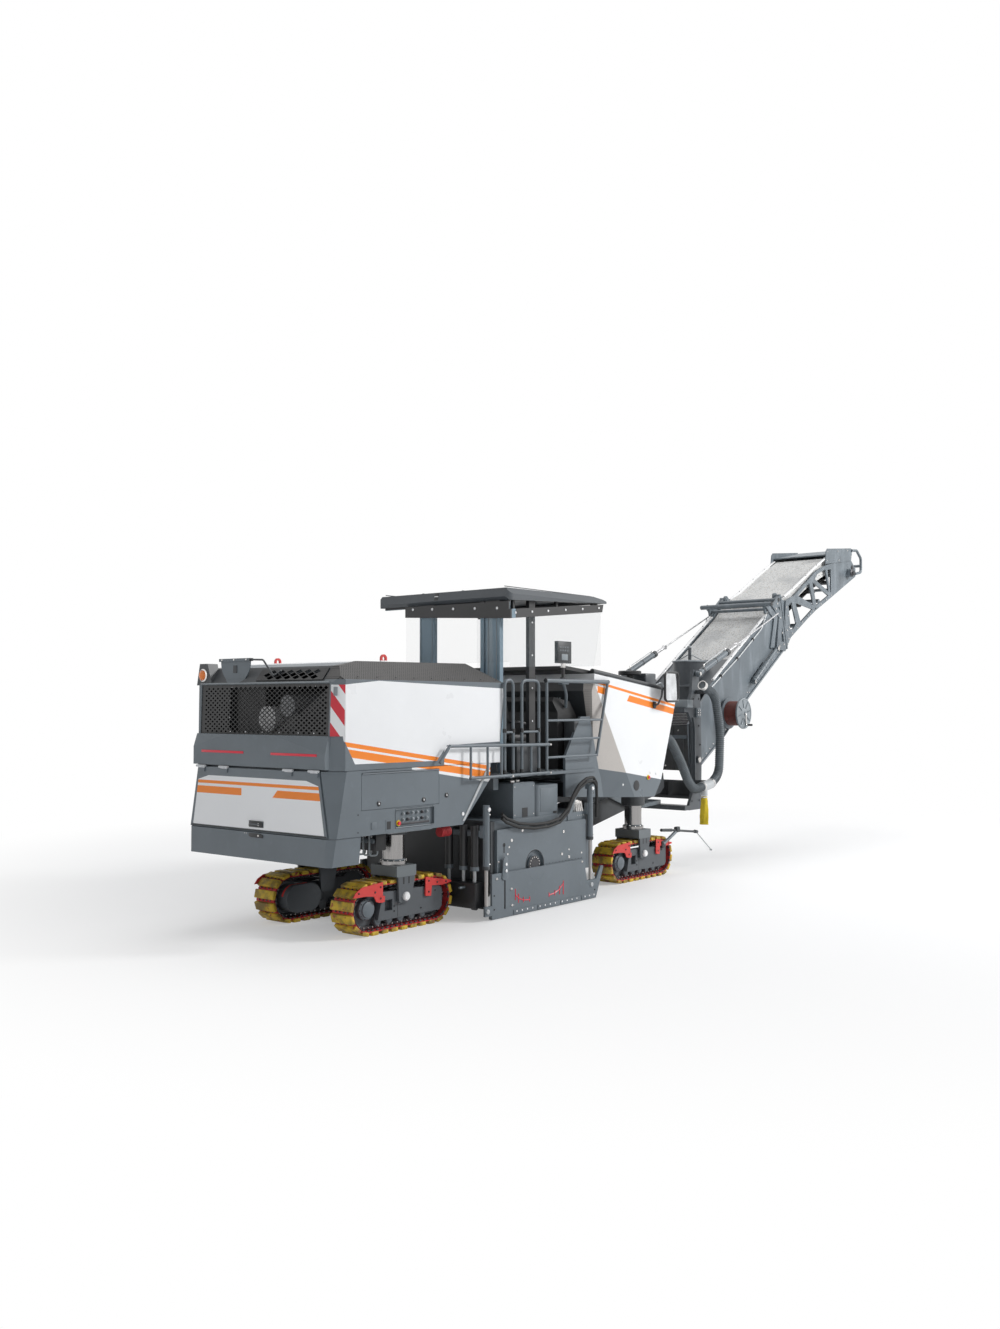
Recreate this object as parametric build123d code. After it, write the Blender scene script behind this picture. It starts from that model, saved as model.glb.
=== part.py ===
from build123d import *
import math
import os

# Cold planer (road milling machine) on four steered tracks, with a folding front loading conveyor.
# Millimetres.  X runs forward to the conveyor's head, Y to the machine's left, Z up from the ground.
# Stations are measured from the middle of the wheelbase.
# FRAME_SHIFT moves them to the middle of the whole length.

# ---------------------------------------------------------------- driving dimensions
FRAME_SHIFT = -3940                 # middle of the whole machine, measured from the middle of the wheelbase
WHEELBASE = 5230
TRACK_LENGTH = 1735
TRACK_HEIGHT = 610
TRACK_WIDTH = 350
TRACK_SHOES = 26
SHOE_PAD_HEIGHT = 42                # ground pad above the chain plate
WHEEL_RADIUS = 215                  # drive wheel and idler inside the chain
TRACK_PIN_HEIGHT = 400              # pin on which the track rocks in its yoke
COLUMN_RADIUS = 130
COLUMN_TOP = 1765
SLEEVE_RADIUS = 178
YOKE_TOP = 760

BODY_HALF_WIDTH = 1280
BODY_SEAM = 1930                    # height where the hood meets the lower body
BODY_REAR = -4030
LOWER_BODY_BOTTOM = 1200
HOOD_TOP = 3170
HOOD_ROOF_HALF_WIDTH = 1020
SKIN = 20                           # depth of the panels and grilles let into the hood
WALL = 50
EYE_BORE = 25                       # lifting eyes on the hood
LASHING_BORE = 32                   # lashing lugs behind the bumper

DRUM_AXIS = (-600, 600)             # x, z
DRUM_RADIUS = 440
TOOL_REACH = 55                     # how far the tool holders stand out of the drum
DRUM_SIDES = (-1290, 700)           # y of the drum's two ends
RIGHT_PLATE_FACE = -1420            # outer face of the right side plate
LEFT_PLATE_FACE = 900

DECK = 1760                         # top of the operator's platform
CANOPY_ROOF = (4015, 4195)          # lowest and highest point

SLEW_X = 4450
LUFF_PIVOT = (4800, 1730)           # x, z
LUFF_CYLINDER_PIN = (4750, 3170)
LUFF_ROPE_EYE = (7820, 4398)
FOLD_HINGE = (8030, 4720)
CONVEYOR_WALL = (570, 600)          # inner and outer face of the loading conveyor's side walls
BELT_HALF_WIDTH = 535
HEAD_START = 10470                  # x where the truss ends and the closed head begins
REEL_CENTRE = (5950, -800, 2500)
DUCT_Y = -1000
DUCT_RADIUS = 75

# corner: name, x of the column, y of the column, which way is outboard (-1 right, +1 left)
CORNERS = [
    ("rear_right", -WHEELBASE / 2, -808, -1),
    ("rear_left", -WHEELBASE / 2, 535, 1),
    ("front_right", WHEELBASE / 2, -808, -1),
    ("front_left", WHEELBASE / 2, 808, 1),
]
SIDES = [("right", -1), ("left", 1)]


# ---------------------------------------------------------------- shape helpers
def block(x, y, z):
    """Box between two stations on each axis."""
    return Solid.make_box(x[1] - x[0], y[1] - y[0], z[1] - z[0], Plane((x[0], y[0], z[0])))


def side_slab(outline, y0, y1):
    """Outline in X and Z, carried across from y0 to y1."""
    wire = Wire.make_polygon([(x, y0, z) for x, z in outline])
    return Solid.extrude(Face(wire), (0, y1 - y0, 0))


def cross_slab(outline, x0, x1):
    """Outline in Y and Z, carried along from x0 to x1."""
    wire = Wire.make_polygon([(x0, y, z) for y, z in outline])
    return Solid.extrude(Face(wire), (x1 - x0, 0, 0))


def flat_slab(outline, z0, z1):
    """Outline in X and Y, carried up from z0 to z1."""
    wire = Wire.make_polygon([(x, y, z0) for x, y in outline])
    return Solid.extrude(Face(wire), (0, 0, z1 - z0))


def bar(start, end, radius):
    """Round bar between two points."""
    start = Vector(*start)
    run = Vector(*end) - start
    return Solid.make_cylinder(radius, run.length, Plane(origin=start, z_dir=run))


def bent_tube(points, radius, bend):
    """Round tube along straight runs joined by arcs of one radius."""
    path = FilletPolyline(*points, radius=bend)
    return sweep(Plane(origin=path @ 0, z_dir=path % 0) * Circle(radius), path=path)


def joined(*pieces):
    return Part() + list(pieces)


def apart(*pieces):
    """Several solids that don't touch, kept as one node."""
    return Compound(list(pieces))


def both_sides(piece):
    return [piece, piece.mirror(Plane.XZ)]


def mirrored_y(side, near, far):
    """The two distances as a rising pair of y on the given side."""
    return sorted((side * near, side * far))


def beyond(first, second, third, outside):
    """Large block on the outer side of the plane through three points."""
    reach = 6000
    origin = Vector(*first)
    along = (Vector(*second) - origin).normalized()
    normal = along.cross(Vector(*third) - origin).normalized()
    if normal.dot(Vector(*outside) - origin) < 0:
        normal = normal * -1
    across = normal.cross(along)
    corner = origin - along * reach - across * reach
    return Solid.make_box(2 * reach, 2 * reach, reach, Plane(origin=corner, x_dir=along, z_dir=normal))


def pierced_sheet(corner, across, up, size, thickness, pitch, share):
    """Flat sheet with staggered diamond holes; share(u, v) is the part of its cell that a hole takes."""
    corner, across, up = Vector(*corner), Vector(*across).normalized(), Vector(*up).normalized()

    def place(u, v):
        return corner + across * u + up * v

    width, height = size
    outline = Wire.make_polygon([place(0, 0), place(width, 0), place(width, height), place(0, height)])
    holes = []
    for row in range(1, int(2 * height / pitch[1])):
        for column in range(1, int(width / pitch[0])):
            u, v = (column + row % 2 / 2) * pitch[0], row * pitch[1] / 2
            half_u, half_v = share(u, v) * pitch[0] / 2, share(u, v) * pitch[1] / 2
            if u + half_u < width - 5 and v + half_v < height - 5:
                ring = [place(u - half_u, v), place(u, v - half_v), place(u + half_u, v),
                        place(u, v + half_v)]
                holes.append(Wire.make_polygon(ring))
    return Solid.extrude(Face(outline, holes), across.cross(up).normalized() * thickness)


nodes = {}


# ---------------------------------------------------------------- tracks, yokes and lifting columns
def loop_point(distance, offset):
    """Point on the track's outline, by distance along its pitch line, offset outward."""
    straight = TRACK_LENGTH - TRACK_HEIGHT
    radius = TRACK_HEIGHT / 2
    turn = math.pi * radius
    distance = distance % (2 * straight + 2 * turn)
    if distance < straight:
        return (-straight / 2 + distance, 2 * radius + offset)
    distance -= straight
    if distance < turn:
        angle = math.pi / 2 - distance / radius
        reach = radius + offset
        return (straight / 2 + reach * math.cos(angle), radius + reach * math.sin(angle))
    distance -= turn
    if distance < straight:
        return (straight / 2 - distance, -offset)
    angle = -math.pi / 2 - (distance - straight) / radius
    reach = radius + offset
    return (-straight / 2 + reach * math.cos(angle), radius + reach * math.sin(angle))


def stadium(inset, y0, y1, x=0.0):
    """Long round-ended block, inset from the track's outline."""
    radius = TRACK_HEIGHT / 2 - inset
    half = (TRACK_LENGTH - TRACK_HEIGHT) / 2
    middle = block((x - half, x + half), (y0, y1), (TRACK_HEIGHT / 2 - radius, TRACK_HEIGHT / 2 + radius))
    ends = [bar((x + s * half, y0, TRACK_HEIGHT / 2), (x + s * half, y1, TRACK_HEIGHT / 2),
                radius) for s in (-1, 1)]
    return joined(middle, *ends)


def track_loop(x, y):
    """One closed chain: ground pads stand out of the plate line, the wheels run inside."""
    perimeter = 2 * (TRACK_LENGTH - TRACK_HEIGHT) + math.pi * TRACK_HEIGHT
    pitch = perimeter / TRACK_SHOES
    outline = []
    for shoe in range(TRACK_SHOES):
        for share, offset in ((0.06, 0), (0.78, 0), (0.80, -SHOE_PAD_HEIGHT), (1.04, -SHOE_PAD_HEIGHT)):
            px, pz = loop_point((shoe + share) * pitch, offset)
            outline.append((x + px, pz))
    half = TRACK_WIDTH / 2
    return side_slab(outline, y - half, y + half) - stadium(78, y - half - 5, y + half + 5, x)


def track_frame(x, y, out):
    """Roller frame inside the chain: wheels, rollers, outer plate, drive hub and its inboard cover."""
    half = (TRACK_LENGTH - TRACK_HEIGHT) / 2
    mid = TRACK_HEIGHT / 2
    pieces = [block((x - half + 40, x + half - 40), (y - 60, y + 60), (150, 450))]
    for end in (-1, 1):
        pieces.append(bar((x + end * half, y - 60, mid), (x + end * half, y + 60, mid), WHEEL_RADIUS))
    for roller in range(5):
        roller_x = x - 380 + roller * 190
        pieces.append(bar((roller_x, y - 110, 150), (roller_x, y + 110, 150), 60))
    pieces.append(bar((x, y - 214, TRACK_PIN_HEIGHT), (x, y + 214, TRACK_PIN_HEIGHT), 45))
    outline = [(x - 427, 165), (x - 346, 480), (x + 620, 462), (x + 672, 410), (x + 672, 200),
               (x + 634, 157),
               (x - 400, 157)]
    plate = side_slab(outline, *sorted((y + out * 60, y + out * 168)))
    pocket = block((x - 315, x - 190), sorted((y + out * 100, y + out * 180)), (257, 384))
    pieces.append(plate - pocket)
    pieces.append(bar((x - half, y + out * 55, mid), (x - half, y + out * 100, mid), 125))
    cover_y = (y - out * 55, y - out * 275)
    for start in (0, 220):
        cover_x = x - half + start
        pieces.append(bar((cover_x, cover_y[0], mid), (cover_x, cover_y[1], mid), 165))
    pieces.append(block((x - half, x - half + 220), sorted(cover_y), (mid - 165, mid + 165)))
    return joined(*pieces)


def track_yoke(x, y):
    """Bridge over the chain with a cheek down each side to the pivot pin."""
    pieces = [block((x - 165, x + 165), (y - 215, y + 215), (YOKE_TOP - 125, YOKE_TOP))]
    cheek = [(x - 140, YOKE_TOP - 80), (x + 160, YOKE_TOP - 80), (x + 90, 350), (x + 60, 330),
             (x - 90, 330),
             (x - 120, 350)]
    for side in (-1, 1):
        inner = y + side * (TRACK_WIDTH / 2 + 7)
        outer = y + side * (TRACK_WIDTH / 2 + 37)
        pieces.append(side_slab(cheek, *sorted((inner, outer))))
    pivot = bar((x, y, 600), (x, y, YOKE_TOP + 5), 92)
    return joined(*pieces) - pivot


def fender_pair(x, y, out):
    """Guard plates over the outer face of the chain at both ends, each with a foot on the roller frame."""
    rear = [(-846, 471), (-800, 530), (-707, 577), (-372, 603), (-372, 364), (-477, 386), (-515, 453),
            (-640, 468)]
    front = [(356, 583), (809, 499), (823, 475), (637, 454), (467, 470), (452, 346), (354, 355)]
    face = sorted((y + out * 182, y + out * 194))
    foot = sorted((y + out * 150, y + out * 194))
    guards = []
    for outline, foot_x in ((rear, (-440, -340)), (front, (360, 450))):
        guards.append(side_slab([(x + along, up) for along, up in outline], *face))
        guards.append(block((x + foot_x[0], x + foot_x[1]), foot, (372, 440)))
    return guards


def lifting_column(x, y):
    """Chromed leg with its flange and steering pivot."""
    leg = bar((x, y, YOKE_TOP + 2), (x, y, COLUMN_TOP), COLUMN_RADIUS)
    flange = bar((x, y, YOKE_TOP + 2), (x, y, YOKE_TOP + 45), 160)
    pivot = bar((x, y, 680), (x, y, YOKE_TOP + 5), 90)
    return joined(leg, flange, pivot)


for corner, column_x, column_y, outboard in CORNERS:
    nodes[f"track_chain_{corner}"] = track_loop(column_x, column_y)
    nodes[f"track_frame_{corner}"] = joined(
        track_frame(column_x, column_y, outboard),
        track_yoke(column_x, column_y),
        *fender_pair(column_x, column_y, outboard),
    )
    nodes[f"column_{corner}"] = lifting_column(column_x, column_y)


# ---------------------------------------------------------------- main frame
def main_frame():
    """Two long beams, cross beams at the columns and the sleeves that guide them."""
    pieces = []
    for side in (-1, 1):
        pieces.append(block((-3600, 2750), sorted((side * 370, side * 470)), (1230, 1560)))
    pieces.append(block((-WHEELBASE / 2 - 150, -WHEELBASE / 2 + 150), (-1000, 1000), (1360, 1660)))
    pieces.append(block((WHEELBASE / 2 - 250, WHEELBASE / 2 - 90), (-1000, 1000), (1360, 1660)))
    pieces.append(block((-3600, -3480), (-1000, 1000), (1230, 1560)))
    pieces.append(block((700, 900), (-1000, 1000), (1360, 1560)))
    for _, column_x, column_y, _ in CORNERS:
        pieces.append(bar((column_x, column_y, 1150), (column_x, column_y, 1880), SLEEVE_RADIUS))
    frame = joined(*pieces)
    for _, column_x, column_y, _ in CORNERS:
        frame -= bar((column_x, column_y, 1100), (column_x, column_y, 1900), COLUMN_RADIUS + 3)
    return frame


nodes["main_frame"] = main_frame()


# ---------------------------------------------------------------- lower body, bumper and tail door
LOWER_BODY_SIDE = [(BODY_REAR, LOWER_BODY_BOTTOM), (-1900, LOWER_BODY_BOTTOM), (-1380, 1730),
                   (-1380, BODY_SEAM - 5), (BODY_REAR, BODY_SEAM - 5)]
HOOD_CHAMFER = 130
SERVICE_DOOR_X = (-3605, -2335)
SERVICE_HINGE = (BODY_HALF_WIDTH + 6, 1886)     # y, z of the doors' knuckles
TAIL_DOOR = [(-1200, 1215), (1200, 1215), (1065, 1918), (-1065, 1918)]
TAIL_POCKET = [(-1207, 1209), (1207, 1209), (1070, 1940), (-1070, 1940)]
TAIL_DOOR_HINGE = (-4062, 1926)                 # x, z
TAIL_KNUCKLES = (-997, -575, 563, 990)          # y of the knuckles' middles


def plan_outline(rear_x, front_x, half_width, chamfer):
    return [(rear_x, half_width - chamfer), (rear_x + chamfer, half_width), (front_x, half_width),
            (front_x, -half_width), (rear_x + chamfer, -half_width), (rear_x, -(half_width - chamfer))]


def lower_body():
    """Enclosure under the hood: side and rear walls and a deck, open below."""
    outer = side_slab(LOWER_BODY_SIDE, -BODY_HALF_WIDTH, BODY_HALF_WIDTH)
    facet = beyond((-4040, -1090, 1852), (-4040, -1216, 1209), (-3907, -1280, 1556), (-4040, -1280, 1556))
    for corner_facet in both_sides(facet):
        outer -= corner_facet
    inside = block((-3970, -1430), (-BODY_HALF_WIDTH + 40, BODY_HALF_WIDTH - 40), (1100, 1885))
    inside &= flat_slab(plan_outline(-3970, -1300, BODY_HALF_WIDTH - 40, 150), 1100, 2000)
    inside -= side_slab([(-1900, 1150), (-1300, 1750), (-1200, 1950), (-1200, 1100)], -1300, 1300)
    gauge_recess = [(-3050, 1240), (-2440, 1240), (-2410, 1270), (-2410, 1440), (-2440, 1470),
                    (-3050, 1470),
                    (-3080, 1440), (-3080, 1270)]
    pockets = [cross_slab(TAIL_POCKET, -4200, -4004), side_slab(gauge_recess, -1300, -BODY_HALF_WIDTH + 25)]
    for _, side in SIDES:
        pockets.append(block((-3610, -2330), mirrored_y(side, BODY_HALF_WIDTH - 15, 1300), (1480, 1900)))
    body = outer - inside
    for pocket in pockets:
        body -= pocket
    return body


def eye_lug(x, y, z, radius, thickness, foot):
    """Round eye plate standing across the machine's length, on a foot that reaches its carrier."""
    eye = bar((x, y - thickness / 2, z), (x, y + thickness / 2, z), radius * 2)
    stem = block((x - radius * 2, x + radius * 2), (y - thickness / 2, y + thickness / 2),
                 sorted((z, foot)))
    return joined(eye, stem) - bar((x, y - thickness, z), (x, y + thickness, z), radius)


def rear_bumper():
    """Hollow tapered bumper with a lashing lug behind each side of it."""
    case = flat_slab(plan_outline(-4050, -3600, 1265, 80), 890, 1195)
    case &= cross_slab([(-1265, 1195), (1265, 1195), (1235, 890), (-1235, 890)], -4100, -3500)
    case -= block((-3960, -3500), (-1130, 1130), (930, 1150))
    return joined(case, *both_sides(eye_lug(-3560, -880, 950, LASHING_BORE, 40, 900)))


def tail_door():
    """Door across the tail, hung from four knuckles under the hood, with a pull bar."""
    hinge_x, hinge_z = TAIL_DOOR_HINGE
    pieces = [cross_slab(TAIL_DOOR, -4046, -4012)]
    for y in TAIL_KNUCKLES:
        pieces.append(bar((hinge_x, y - 82, hinge_z), (hinge_x, y + 82, hinge_z), 14))
        pieces.append(block((-4060, -4044), (y - 60, y + 60), (1860, hinge_z)))
    pieces.append(block((-4054, -4040), (-146, 104), (1257, 1329)))
    pull = [(-4044, -100, 1293), (-4080, -100, 1293), (-4080, 60, 1293), (-4044, 60, 1293)]
    pieces.append(bent_tube(pull, 9, 20))
    return joined(*pieces)


nodes["lower_body"] = lower_body()
nodes["rear_bumper"] = rear_bumper()
nodes["tail_door"] = tail_door()
for side_name, side in SIDES:
    hinge_y, hinge_z = side * SERVICE_HINGE[0], SERVICE_HINGE[1]
    leaf_y = mirrored_y(side, BODY_HALF_WIDTH - 12, BODY_HALF_WIDTH)
    nodes[f"service_door_{side_name}"] = joined(
        block(SERVICE_DOOR_X, leaf_y, (1485, 1882)),
        bar((SERVICE_DOOR_X[0], hinge_y, hinge_z), (SERVICE_DOOR_X[1], hinge_y, hinge_z), 8),
    )


# ---------------------------------------------------------------- hood
HOOD_REAR_FOOT = (-3980, BODY_SEAM)             # x, z; the rear face leans from here
HOOD_REAR_TOP = (-3950, 2900)
HOOD_PANEL = [(-3930, 2870), (-3340, 2925), (-1110, 2860), (-1190, 2190), (-2190, 2170), (-2370, 1990),
              (-3710, 2000), (-3870, 2260)]
REAR_GRILLE = (1130, 2312, 2888)                # half width, bottom, top
ROOF_GRILLE_Y = (-1000, 150)


def hood_form(inset):
    """The hood's closed form, cut from three views, smaller all round by the inset."""
    half = BODY_HALF_WIDTH - inset
    side = [(HOOD_REAR_FOOT[0] + inset, BODY_SEAM), (HOOD_REAR_TOP[0] + inset, HOOD_REAR_TOP[1]),
            (-3800 + inset, 3090 - inset), (-3480, 3150 - inset), (-1580, HOOD_TOP - inset),
            (-1075 - inset, 2910), (-1180 - inset, 2190), (-1180 - inset, BODY_SEAM)]
    section = [(-half, BODY_SEAM), (-half, 2930), (-HOOD_ROOF_HALF_WIDTH, HOOD_TOP + 20 - inset),
               (HOOD_ROOF_HALF_WIDTH, HOOD_TOP + 20 - inset), (half, 2930), (half, BODY_SEAM)]
    form = side_slab(side, -half, half)
    form &= cross_slab(section, -4100, -1000)
    form &= flat_slab(plan_outline(-3985 + inset, -1000, half, HOOD_CHAMFER), BODY_SEAM, 3300)
    return form


def tail_crossbar():
    """Beam above the tail door, its two upper corners sloped back."""
    beam = block((-4046, -3965), (-1160, 1160), (1945, 2311))
    for side, inner_y, low_z in ((-1, 289, 2119), (1, 553, 2166)):
        top_inner = (-4046, side * inner_y, 2311)
        low_outer = (-4046, side * 1160, low_z - 10)
        beam -= beyond(top_inner, low_outer, (-3995, side * 1160, 2311), (-4046, side * 1160, 2311))
    return beam


def warning_gear():
    """Round-footed bracket with its crank handle, and the lamp box on the hood's rear slope."""
    disc = bar((-3905, 555, 3165), (-3890, 555, 3165), 270) - block((-4000, -3800), (200, 900),
                                                                    (3170, 3500))
    rail = block((-3925, -3870), (270, 840), (3168, 3203))
    crank = bent_tube([(-3898, 300, 3186), (-3898, 60, 3178), (-3898, -130, 2985), (-3898, -260, 3050)],
                      11, 45)
    lamp = cross_slab([(1235, 2890), (1180, 3150), (1030, 3150), (940, 2890)], -3948, -3800)
    return [disc, rail, crank, lamp]


hood_outer = hood_form(0)
hood_skin = hood_outer - hood_form(SKIN)
panel_cut = side_slab(HOOD_PANEL, -1300, -1200)
chamfer_cut = side_slab([(-3960, 2935), (-3960, 3300), (-1000, 3300), (-1000, 2935)], -1300,
                        -HOOD_ROOF_HALF_WIDTH)
grille_half, grille_bottom, grille_top = REAR_GRILLE
rear_cut = block((-4100, -3870), (-grille_half, grille_half), (grille_bottom - 2, grille_top + 2))
front_cut = side_slab([(-1215, 2000), (-1140, 2860), (-900, 2860), (-900, 2000)], -1200, 1200)
left_chamfer_cut = chamfer_cut.mirror(Plane.XZ) - block((-4000, -3795), (900, 1300), (2800, 3300))
skin_cuts = [panel_cut, panel_cut.mirror(Plane.XZ), chamfer_cut, left_chamfer_cut, rear_cut, front_cut]

hood_shell = hood_outer - hood_form(SKIN + WALL)
for cut in skin_cuts:
    hood_shell -= hood_skin & cut
hood_shell -= block((-4100, -3860), (-grille_half + 15, grille_half - 15),
                    (grille_bottom + 15, grille_top - 15))
hood_shell -= block((-4100, -3730), ROOF_GRILLE_Y, (2935, 3066))
roof_eyes = both_sides(eye_lug(-2930, -940, HOOD_TOP + 25, EYE_BORE, 24, 3120))
nodes["hood_shell"] = joined(hood_shell, tail_crossbar(), *warning_gear(), *roof_eyes)
nodes["hood_panels"] = apart(*both_sides(hood_skin & panel_cut))
nodes["hood_meshes"] = apart(hood_skin & chamfer_cut, hood_skin & left_chamfer_cut, hood_skin & front_cut)


def grille_share(u, v):
    """Wide open in the middle, small holes on the left and below the slanting edge on the right."""
    y, z = grille_half - u, grille_bottom + v
    if y > 580:
        return 0.5
    if z < 2340 - 0.6 * (y + 260):
        return 0.58
    return 0.84


lean = (HOOD_REAR_TOP[0] - HOOD_REAR_FOOT[0]) / (HOOD_REAR_TOP[1] - HOOD_REAR_FOOT[1])
grille_x = HOOD_REAR_FOOT[0] + SKIN + lean * (grille_bottom - BODY_SEAM)
rear_sheet = pierced_sheet((grille_x, grille_half, grille_bottom), (0, -1, 0), (lean, 0, 1),
                           (2 * grille_half, grille_top - grille_bottom), 12, (86, 56), grille_share)
slope_sheet = pierced_sheet((-3930, ROOF_GRILLE_Y[1] - 5, 2930), (0, -1, 0), (150, 0, 190),
                            (ROOF_GRILLE_Y[1] - ROOF_GRILLE_Y[0] - 10, 172), 8, (150,
                                                                                 80), lambda u, v: 0.84)
slope_ledge = block((-3926, -3880), (ROOF_GRILLE_Y[0] + 5, ROOF_GRILLE_Y[1] - 5), (2935, 2947))
nodes["rear_grille"] = apart(rear_sheet, joined(slope_sheet, slope_ledge))

# engine block on the deck, a shelf behind it and, behind the grille, two air cleaners and the cooler's side
engine = block((-3300, -1600), (-450, 450), (BODY_SEAM - 4, 2800))
shelf = block((-3870, -3290), (-470, 600), (2290, 2345))
air_cleaners = [bar((-3880, 0, 2490), (-3450, 0, 2490), 150),
                bar((-3860, -330, 2640), (-3450, -330, 2640), 125)]
cleaner_foot = block((-3800, -3700), (-390, -270), (2340, 2540))
cooler_side = block((-3860, -3835), (60, 560), (2330, 2870))
nodes["engine_block"] = joined(engine, shelf, *air_cleaners, cleaner_foot, cooler_side)


# ---------------------------------------------------------------- drum, its housing and the side plates
HUB_WINDOW = 190                    # radius of the round window over the drum's gearbox
TOOL_ROWS = 8
TOOLS_IN_ROW = 9


def drum_housing():
    """Box over the milling drum: closed above, open below and at the conveyor's mouth."""
    x0, x1 = -1450, 750
    outer = block((x0, x1), (-1345, 825), (420, 1200))
    cavity = block((x0 + 50, x1 - 50), (-1305, 785), (300, 1150))
    mouth = block((x1 - 60, x1 + 10), (-300, 300), (440, 830))
    scraper = side_slab([(x0 + 50, 425), (x0, 425), (x0 - 40, 120), (x0 - 10, 120)], -1290, 770)
    hub_x, hub_z = DRUM_AXIS
    hub_window = bar((hub_x, -1400, hub_z - 10), (hub_x, -1346, hub_z - 10), HUB_WINDOW)
    cover = block((-1370, 540), (-1384, -1340), (430, 1095)) - hub_window
    gearbox = bar((hub_x, -1340, hub_z - 10), (hub_x, -1372, hub_z - 10), HUB_WINDOW - 65)
    return joined(outer - cavity - mouth, scraper, cover, gearbox)


nodes["drum_housing"] = drum_housing()


def milling_drum():
    """Drum on its gearbox shaft, with tool holders in rows that wind round it."""
    x, z = DRUM_AXIS
    start, end = DRUM_SIDES
    drum = bar((x, start + 20, z), (x, end - 20, z), DRUM_RADIUS)
    shaft = bar((x, start, z), (x, end, z), 120)
    holders = []
    for row in range(TOOL_ROWS):
        for station in range(TOOLS_IN_ROW):
            y = start + 75 + station * (end - start - 150) / (TOOLS_IN_ROW - 1)
            turn = 360 * row / TOOL_ROWS + 14 * abs(station - (TOOLS_IN_ROW - 1) / 2)
            holder = Pos(DRUM_RADIUS + TOOL_REACH / 2 - 10, 0, 0) * Box(TOOL_REACH + 20, 60, 80)
            holders.append(Pos(x, y, z) * Rot(0, turn, 0) * holder)
    return joined(drum, shaft, *holders)


nodes["milling_drum"] = milling_drum()

PLATE_RODS = (-1600, 620)           # x of the two lifting rods on each side plate
PLATE_OUTLINE = [(-1510, 8), (730, 8), (905, 400), (905, 430), (850, 430), (740, 265), (520, 265),
                 (450, 565),
                 (-1510, 565), (-1510, 180), (-1640, 180), (-1640, 60), (-1510, 60)]


def edge_plate(face, out):
    """Side plate that rides on the road edge, with its wear shoe and lifting rods."""
    y0, y1 = sorted((face, face - out * 30))
    hub = bar((DRUM_AXIS[0], y0 - 5, DRUM_AXIS[1] - 10), (DRUM_AXIS[0], y1 + 5, DRUM_AXIS[1] - 10),
              HUB_WINDOW)
    slot = block((-1275, -1245), (y0 - 5, y1 + 5), (110, 500))
    plate = side_slab(PLATE_OUTLINE, y0, y1) - hub - slot
    shoe = block((-1500, 730), sorted((face - out * 30, face - out * 60)), (8, 80))
    rod_y = face - out * 20
    rods = [bar((x, rod_y, 170), (x, rod_y, 1020), 22) for x in PLATE_RODS]
    return joined(plate, shoe, *rods)


def plate_barrels(face, out):
    """Fixed barrels that lift a side plate, with the brackets and the curved arm that hold them."""
    rod_y = face - out * 20
    inner = face - out * 75
    # x of the rod, bottom and top of its barrel
    rows = [(PLATE_RODS[0], 640, 1420), (PLATE_RODS[1], 820, 1560)]
    pieces = []
    for x, bottom, top in rows:
        bracket = block((x - 60, x + 60), sorted((inner, rod_y)), (top - 400, top - 250))
        barrel = joined(bar((x, rod_y, bottom), (x, rod_y, top), 42), bracket)
        if x > 0:
            centre = (730, 1100)
            ring_y = sorted((inner, inner + out * 12))
            ring = bar((centre[0], ring_y[0], centre[1]), (centre[0], ring_y[1], centre[1]), 570)
            ring -= bar((centre[0], ring_y[0] - 5, centre[1]), (centre[0], ring_y[1] + 5, centre[1]), 470)
            ring &= block((100, centre[0]), (ring_y[0] - 5, ring_y[1] + 5), (centre[1], 1700))
            strap = block((580, 700), sorted((inner, rod_y)), (1500, 1600))
            barrel = joined(barrel, ring, strap)
        pieces.append(barrel - bar((x, rod_y, bottom - 10), (x, rod_y, top - 40), 25))
    return pieces


nodes["side_plate_right"] = edge_plate(RIGHT_PLATE_FACE, -1)
nodes["side_plate_left"] = edge_plate(LEFT_PLATE_FACE, 1)
nodes["plate_barrels"] = apart(*plate_barrels(RIGHT_PLATE_FACE, -1), *plate_barrels(LEFT_PLATE_FACE, 1))

# two hoses clipped along the right side, from the rear barrel over the curved arm to the front barrel
HOSE_LINE = [(-1330, 1290), (-1240, 1230), (-980, 1150), (-680, 1115), (-380, 1115), (-120, 1150),
             (70, 1270), (190, 1440), (330, 1570), (500, 1650), (660, 1660), (735, 1580), (740,
                                                                                           1380), (730,
                                                                                                   1160)]


def clipped_hose(drop, y, radius):
    route = [(x, y, z - drop) for x, z in HOSE_LINE]
    path = FilletPolyline(*route, radius=55)
    return sweep(Plane(origin=path @ 0, z_dir=path % 0) * Circle(radius), path=path)


nodes["hydraulic_hoses"] = apart(clipped_hose(0, RIGHT_PLATE_FACE - 10, 20),
                                 clipped_hose(48, RIGHT_PLATE_FACE - 10, 20))


# ---------------------------------------------------------------- front module, platform and canopy
MODULE_SIDE = [(910, 3090), (2820, 2860), (3100, 2710), (2660, 1500), (2480, 1280), (1300, 1330),
               (1130, 1720),
               (890, 2850)]
CREASE_TOP = Vector(1000, -BODY_HALF_WIDTH, 2830)
CREASE_FOOT = Vector(1930, -BODY_HALF_WIDTH, 1310)
CREASE_INNER = Vector(900, -1110, 2100)     # a point on the turned-in face behind the crease


def crease_cut():
    """Everything outboard of the face that turns inward behind the crease, right side."""
    run = (CREASE_FOOT - CREASE_TOP).normalized()
    outward = run.cross(CREASE_INNER - CREASE_TOP).normalized()
    if outward.Y > 0:
        outward = outward * -1
    back = outward.cross(run)
    if back.X > 0:
        start = CREASE_TOP - run * 1500 - back * 2500
    else:
        start = CREASE_TOP - run * 1500
    return Solid.make_box(5000, 2500, 600, Plane(origin=start, x_dir=run, z_dir=outward))


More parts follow.
